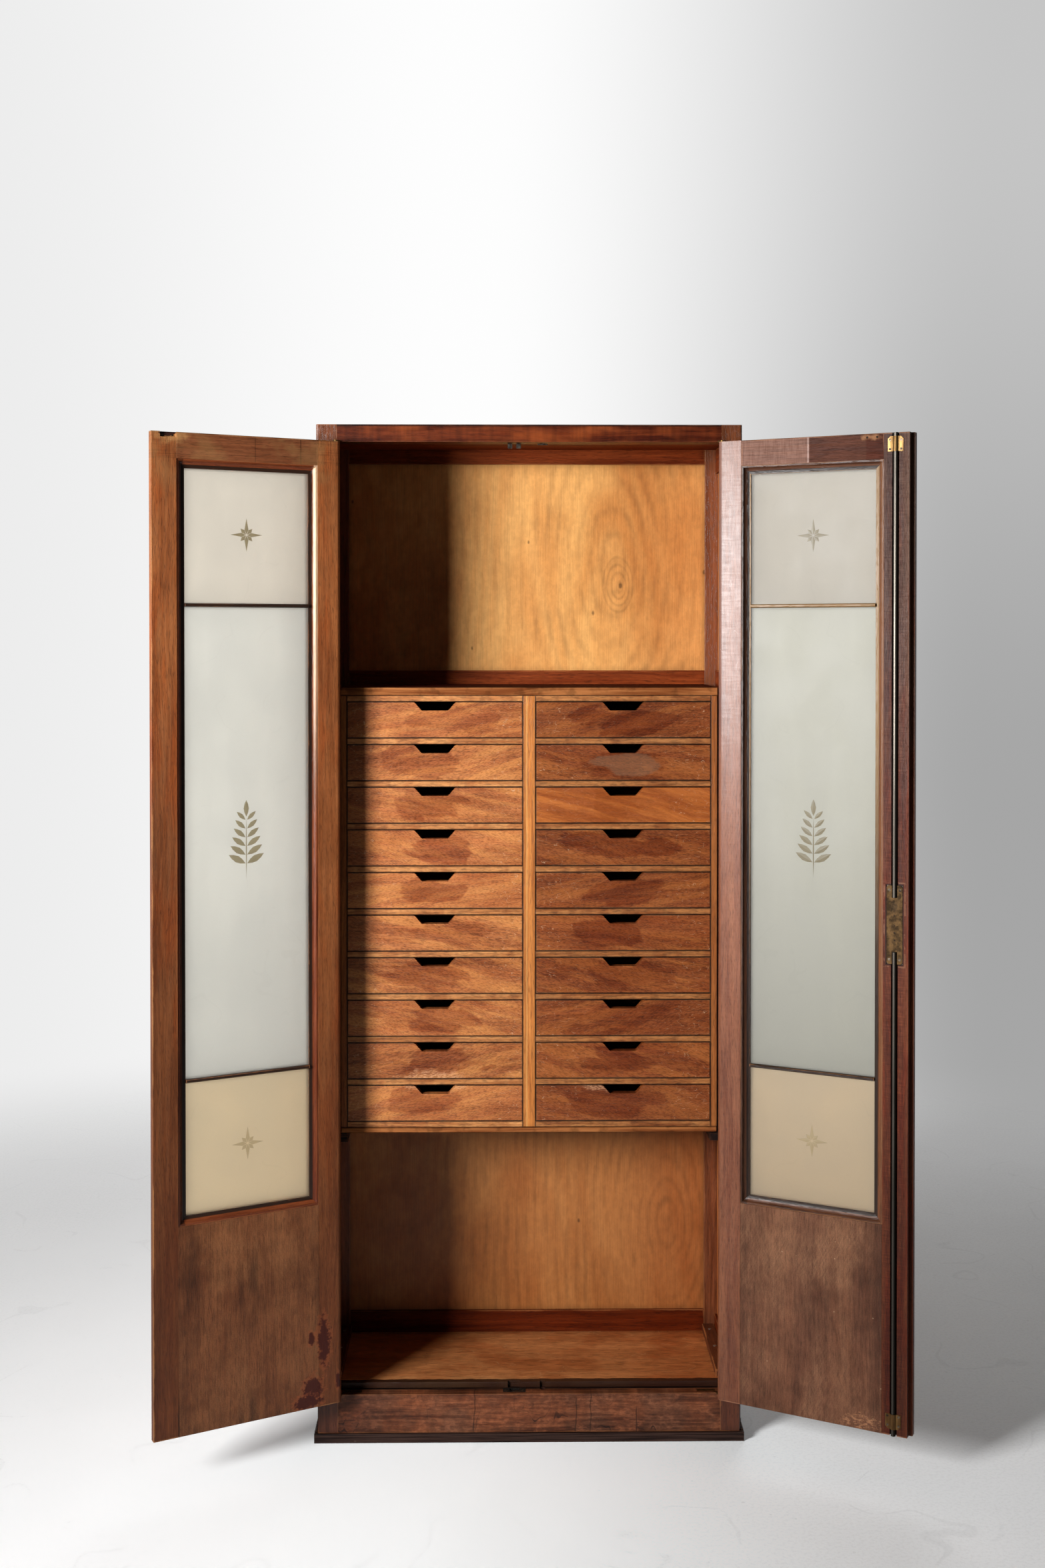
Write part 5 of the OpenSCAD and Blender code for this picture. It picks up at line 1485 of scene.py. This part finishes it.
def star_at(x, z):
    """An eight-pointed compass star: four long rays and four short ones."""
    rays = [kite((x, z), k * math.pi / 2, 0.0012, 0.0098, 0.0039, 0.0315) for k in range(4)]
    short = [kite((x, z), (k + 0.5) * math.pi / 2, 0.0014, 0.0095, 0.0038, 0.0165) for k in range(4)]
    return rays + short


def leaf_shape(x, z, angle, length, width):
    """A pointed leaf of a sprig: eight points round it and a rib down its middle."""
    ax, az = math.cos(angle), math.sin(angle)
    outline = [(0, 0), (0.25, 0.7), (0.5, 1), (0.78, 0.62), (1, 0), (0.78, -0.62), (0.5, -1), (0.25, -0.7)]
    ring = [
        (x + a * length * ax - b * width / 2 * az, z + a * length * az + b * width / 2 * ax)
        for a, b in outline
    ]
    rib = [(x + a * length * ax, z + a * length * az) for a in (0.25, 0.78)]
    return ring, rib


def sprig_at(x, z, tall, wide):
    """A plain leafy sprig: pairs of leaves up a stem, with one at its tip."""
    shapes = []
    pairs = 6
    for k in range(pairs):
        up = z - tall / 2 + tall * (0.2 + 0.11 * k)
        length = wide / 2 * (1.0 - 0.075 * k)
        for sign in (1, -1):
            angle = math.pi / 2 - sign * math.radians(62 - 3 * k)
            shapes.append(leaf_shape(x + sign * 0.0016, up, angle, length, length * 0.34))
    shapes.append(leaf_shape(x, z + tall * 0.29, math.pi / 2, tall * 0.21, wide * 0.14))
    return shapes


def stem_of(x, z, tall):
    """The sprig's stem as a slim leaf."""
    return [leaf_shape(x, z - tall / 2, math.pi / 2, tall * 0.78, 0.0022)]


STAR_X = 0.1885
STAR_Z = (1.777, 0.6244)
SPRIG_X, SPRIG_Z = 0.19, 1.201
SPRIG_TALL, SPRIG_WIDE = 0.15, 0.075
for side, word, pane_mark in ((LEFT, "left", left_cut), (RIGHT, "right", right_cut)):
    stars = [ray for z in STAR_Z for ray in star_at(STAR_X, z)]
    pane_piece(word + "_stars", side, stars, pane_mark, 0.25 * MM)
    pane_piece(word + "_sprig", side, sprig_at(SPRIG_X, SPRIG_Z, SPRIG_TALL, SPRIG_WIDE), pane_mark, 0.2 * MM)
    pane_piece(word + "_sprig_stem", side, stem_of(SPRIG_X, SPRIG_Z, SPRIG_TALL), pane_mark, 0.2 * MM)


# Screws


def screw_heads_tree():
    """Slotted screw heads on points. Each head faces the way its point says, its slot turned at random."""
    tree = bpy.data.node_groups.new("screw_heads", "GeometryNodeTree")
    new = tree.interface.new_socket
    new("Geometry", in_out="INPUT", socket_type="NodeSocketGeometry")
    for label, default in (("Radius", 0.003), ("Height", 0.001), ("Slot Width", 0.0006)):
        new(label, in_out="INPUT", socket_type="NodeSocketFloat").default_value = default
    new("Material", in_out="INPUT", socket_type="NodeSocketMaterial")
    new("Geometry", in_out="OUTPUT", socket_type="NodeSocketGeometry")
    g = Graph(tree)
    source = tree.nodes.new("NodeGroupInput").outputs
    result = tree.nodes.new("NodeGroupOutput").inputs
    head = g.node("GeometryNodeMeshCylinder", Vertices=20, Radius=source["Radius"], Depth=source["Height"])
    slot_size = g.joined(g.times(source["Radius"], 2.4), source["Slot Width"], source["Height"])
    cutter = g.node("GeometryNodeMeshCube", Size=slot_size)
    raised = g.node(
        "GeometryNodeTransform", Geometry=cutter.outputs["Mesh"],
        Translation=g.joined(0.0, 0.0, g.times(source["Height"], 0.6)),
    )
    cut = g.node("GeometryNodeMeshBoolean", {"operation": "DIFFERENCE"})
    g.feed(cut.inputs["Mesh 1"], head.outputs["Mesh"])
    g.feed(cut.inputs["Mesh 2"], raised.outputs["Geometry"])
    facing = g.node("GeometryNodeInputNamedAttribute", {"data_type": "FLOAT_VECTOR"}, Name="facing")
    align = g.node("FunctionNodeAlignEulerToVector", {"axis": "Z"}, Vector=facing.outputs["Attribute"])
    spread = g.node(
        "GeometryNodeInstanceOnPoints", Points=source["Geometry"], Instance=cut.outputs["Mesh"],
        Rotation=align.outputs["Rotation"],
    )
    turn = g.node("FunctionNodeRandomValue", {"data_type": "FLOAT"})
    turn.inputs[3].default_value = math.pi
    turn.inputs["Seed"].default_value = 7
    turned = g.node(
        "GeometryNodeRotateInstances", Instances=spread.outputs["Instances"],
        Rotation=g.joined(0.0, 0.0, turn.outputs[1]),
    )
    real = g.node("GeometryNodeRealizeInstances", Geometry=turned.outputs["Instances"])
    painted = g.node(
        "GeometryNodeSetMaterial", Geometry=real.outputs["Geometry"], Material=source["Material"]
    )
    g.feed(result["Geometry"], painted.outputs["Geometry"])
    return tree


SCREWS = screw_heads_tree()


def add_screws(name, body, seats, material, radius, height):
    """One mesh of screw heads for a body, from seats of (point, way it faces)."""
    points = bpy.data.meshes.new(name + "_seats")
    points.from_pydata([point for point, _ in seats], [], [])
    facing = points.attributes.new("facing", "FLOAT_VECTOR", "POINT")
    for number, (_, way) in enumerate(seats):
        facing.data[number].vector = way
    seat = bpy.data.objects.new(name + "_seats", points)
    scene.collection.objects.link(seat)
    modifier = seat.modifiers.new("heads", "NODES")
    modifier.node_group = SCREWS
    wanted = {"Radius": radius, "Height": height, "Slot Width": radius * 0.2, "Material": material}
    for item in SCREWS.interface.items_tree:
        if item.in_out == "INPUT" and item.name in wanted:
            modifier[item.identifier] = wanted[item.name]
    bpy.context.view_layer.update()
    mesh = bpy.data.meshes.new_from_object(seat.evaluated_get(bpy.context.evaluated_depsgraph_get()))
    bpy.data.objects.remove(seat)
    mesh.name = name
    place = mesh.attributes.get("place") or mesh.attributes.new("place", "FLOAT_VECTOR", "POINT")
    for number, v in enumerate(mesh.vertices):
        place.data[number].vector = v.co
    return add_object(name, mesh, [], body)


def leaf_seat(side, x, y, z):
    """A screw's seat on a door."""
    return leaf_point(side, x, y, z), leaf_out(side)


cover_seats = [
    leaf_seat(RIGHT, x, COVER_HI.y, z)
    for x in (COVER_LO.x + 5 * MM, COVER_HI.x - 5 * MM)
    for z in (COVER_LO.z + 9 * MM, COVER_HI.z - 9 * MM)
]
add_screws("lock_cover_screws", "right_door", cover_seats, screw_metal, 2.6 * MM, 0.5 * MM)
GUIDE_FACE = DOOR_T + 1.3 * MM
guide_seats = [
    leaf_seat(RIGHT, x, GUIDE_FACE, z)
    for x in (GUIDE_LO.x + 4 * MM, GUIDE_HI.x - 4 * MM)
    for z in (GUIDE_LO.z + 7 * MM, GUIDE_LO.z + 24 * MM, GUIDE_HI.z - 7 * MM, GUIDE_HI.z - 24 * MM)
]
add_screws("rod_guide_screws", "right_door", guide_seats, screw_metal, 2.3 * MM, 0.5 * MM)
catch_z = LEAF_HI.z - 6 * MM
catch_seats = [leaf_seat(LEFT, FREE_STILE + x, DOOR_T - 6 * MM, catch_z) for x in (6 * MM, 25 * MM)]
add_screws("catch_screws", "left_door", catch_seats, screw_metal, 2.0 * MM, 0.8 * MM)
BATTEN_LO, BATTEN_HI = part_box("floor_battens")
batten_x = BATTEN_HI.x - 13 * MM
batten_seats = [
    (Vector((s * batten_x, y, BATTEN_HI.z)), UP)
    for s in (LEFT, RIGHT)
    for y in (BATTEN_LO.y + 0.03, (BATTEN_LO.y + BATTEN_HI.y) / 2, BATTEN_HI.y - 0.03)
]
add_screws("floor_batten_screws", "carcass", batten_seats, bright_steel, 3.6 * MM, 0.8 * MM)
keeper_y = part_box("keepers")[0].y + 12 * MM
keeper_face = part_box("sill")[1].z
keeper_seats = [(Vector((-x, keeper_y, keeper_face)), UP) for x in (12 * MM, 47 * MM)]
add_screws("keeper_screws", "carcass", keeper_seats, screw_metal, 2.6 * MM, 0.6 * MM)


# Studio


FILL = 0.045  # even light from the room
BEHIND_GLASS = 0.9  # light that the panes let through


def backdrop_colour(g, across, up):
    """Brightness of the pale backdrop: brightest in the middle, falling off to the right."""
    left = g.step(across, -0.3, -0.02, 0.84, 0.985)
    dim = g.step(up, -0.1, 0.3, 0.38, 0.56)
    right = g.step(across, -0.01, 0.27, 0.0, 1.0)
    kept = g.times(left, g.minus(1.0, right))
    return g.plus(kept, g.times(dim, right))


def make_world():
    """The backdrop as the camera sees it, a bright room behind for glass and metal, and a faint even
    fill for everything else."""
    world = bpy.data.worlds.new("studio")
    scene.world = world
    world.use_nodes = True
    g = Graph(world.node_tree)
    world.node_tree.nodes.clear()
    way = g.parts(g.node("ShaderNodeTexCoord").outputs["Generated"])
    path = g.node("ShaderNodeLightPath").outputs
    strength = FILL
    behind = g.step(way[1], -0.3, 0.3, 0.08, 0.6)
    for ray, level in (
        ("Is Glossy Ray", behind),
        ("Is Transmission Ray", BEHIND_GLASS),
        ("Is Camera Ray", backdrop_colour(g, way[0], way[2])),
    ):
        other = g.times(g.minus(1.0, path[ray]), strength)
        strength = g.plus(g.times(path[ray], level), other)
    light = g.node("ShaderNodeBackground", Color=(1, 1, 1, 1), Strength=strength)
    output = g.node("ShaderNodeOutputWorld")
    g.feed(output.inputs["Surface"], light.outputs[0])


def make_floor():
    """A pale floor that takes the shadow near the cabinet and fades into the backdrop."""
    bm = bmesh.new()
    bmesh.ops.create_circle(bm, cap_ends=True, segments=96, radius=6.0)
    mesh = bpy.data.meshes.new("studio_floor")
    bm.to_mesh(mesh)
    bm.free()
    floor = bpy.data.objects.new("studio_floor", mesh)
    scene.collection.objects.link(floor)
    material = bpy.data.materials.new("pale_floor")
    material.use_nodes = True
    g = Graph(material.node_tree)
    material.node_tree.nodes.clear()
    position = g.node("ShaderNodeTexCoord").outputs["Object"]
    x = g.parts(position)[0]
    # The floor's own colour darker to the left: painted shade against the lamp's brighter light there.
    matte = g.step(x, -1.2, -0.1, 0.83, 0.98)
    worn = g.step(g.noise(position, 3, 5, 0.65), 0.35, 0.7, 0.97, 1.0)
    grit = g.step(g.noise(position, 150, 3, 0.7), 0.34, 0.56, 0.93, 1.0)
    chips = g.use(SCUFFS, Position=g.scaled(position, 0.55), Scale=5.0, Amount=0.9)
    crack = g.plus(g.times(chips["Scratches"], 0.06), g.times(chips["Pecks"], 0.1))
    matte = g.times(matte, g.minus(1.0, crack), g.times(worn, grit))
    path = g.node("ShaderNodeLightPath").outputs
    glow = g.step(x, -0.35, 0.6, 0.21, 0.03)
    cool = g.step(g.away(x), 0.2, 0.9, 1.0, 0.0)  # balances the warm light that the wood sends down
    hue = g.mix(cool, (1.0, 1.0, 1.0, 1.0), (0.955, 0.99, 1.0, 1.0))
    diffuse = g.node("ShaderNodeBsdfDiffuse", Color=g.scaled(hue, matte))
    light = g.node("ShaderNodeEmission", Strength=g.times(glow, path["Is Camera Ray"]))
    both = g.node("ShaderNodeAddShader")
    g.feed(both.inputs[0], diffuse.outputs[0])
    g.feed(both.inputs[1], light.outputs[0])
    clear = g.node("ShaderNodeBsdfTransparent")
    centre = g.vector("DISTANCE", position, (0.0, 0.2, 0.0))
    mixed = g.node("ShaderNodeMixShader")
    g.feed(mixed.inputs[0], g.step(centre, 1.5, 3.4))
    g.feed(mixed.inputs[1], both.outputs[0])
    g.feed(mixed.inputs[2], clear.outputs[0])
    output = g.node("ShaderNodeOutputMaterial")
    g.feed(output.inputs["Surface"], mixed.outputs[0])
    mesh.materials.append(material)


def add_softbox(name, place, aim, width, height, power, spread=180, through_glass=True):
    """A rectangular lamp that looks at a point."""
    light = bpy.data.lights.new(name, "AREA")
    light.shape = "RECTANGLE"
    light.size, light.size_y = width, height
    light.energy = power
    light.spread = math.radians(spread)
    made = bpy.data.objects.new(name, light)
    made.location = place
    made.visible_transmission = through_glass
    made.rotation_mode = "QUATERNION"
    made.rotation_quaternion = (Vector(aim) - Vector(place)).to_track_quat("-Z", "Y")
    scene.collection.objects.link(made)


make_world()
make_floor()
add_softbox("key_softbox", (-2.48, -2.53, 1.84), (0.0, 0.1, 1.5), 1.0, 1.1, 90, spread=100)
add_softbox("back_softbox", (0.9, 4.2, 2.6), (0.0, 0.3, 1.0), 2.4, 2.0, 60, through_glass=False)

# The camera of the photograph: focal length and principal point in pixels of its 1568 x 2352 image.
IMAGE_H = 2352
FOCAL = 2630.5
HORIZON_Y = 993.2
CAMERA = (-0.0574, -3.4351, 1.5807)
YAW, PITCH = math.radians(0.731), math.radians(-0.757)

camera = bpy.data.cameras.new("photo_camera")
camera.sensor_width = 36
camera.lens = FOCAL / IMAGE_H * camera.sensor_width
camera.shift_y = (HORIZON_Y - IMAGE_H / 2) / IMAGE_H
camera.clip_end = 50
eye = bpy.data.objects.new("photo_camera", camera)
eye.location = CAMERA
eye.rotation_mode = "QUATERNION"
look = Vector((math.sin(YAW) * math.cos(PITCH), math.cos(YAW) * math.cos(PITCH), math.sin(PITCH)))
eye.rotation_quaternion = look.to_track_quat("-Z", "Y")
scene.collection.objects.link(eye)
scene.camera = eye
scene.view_settings.view_transform = "Standard"
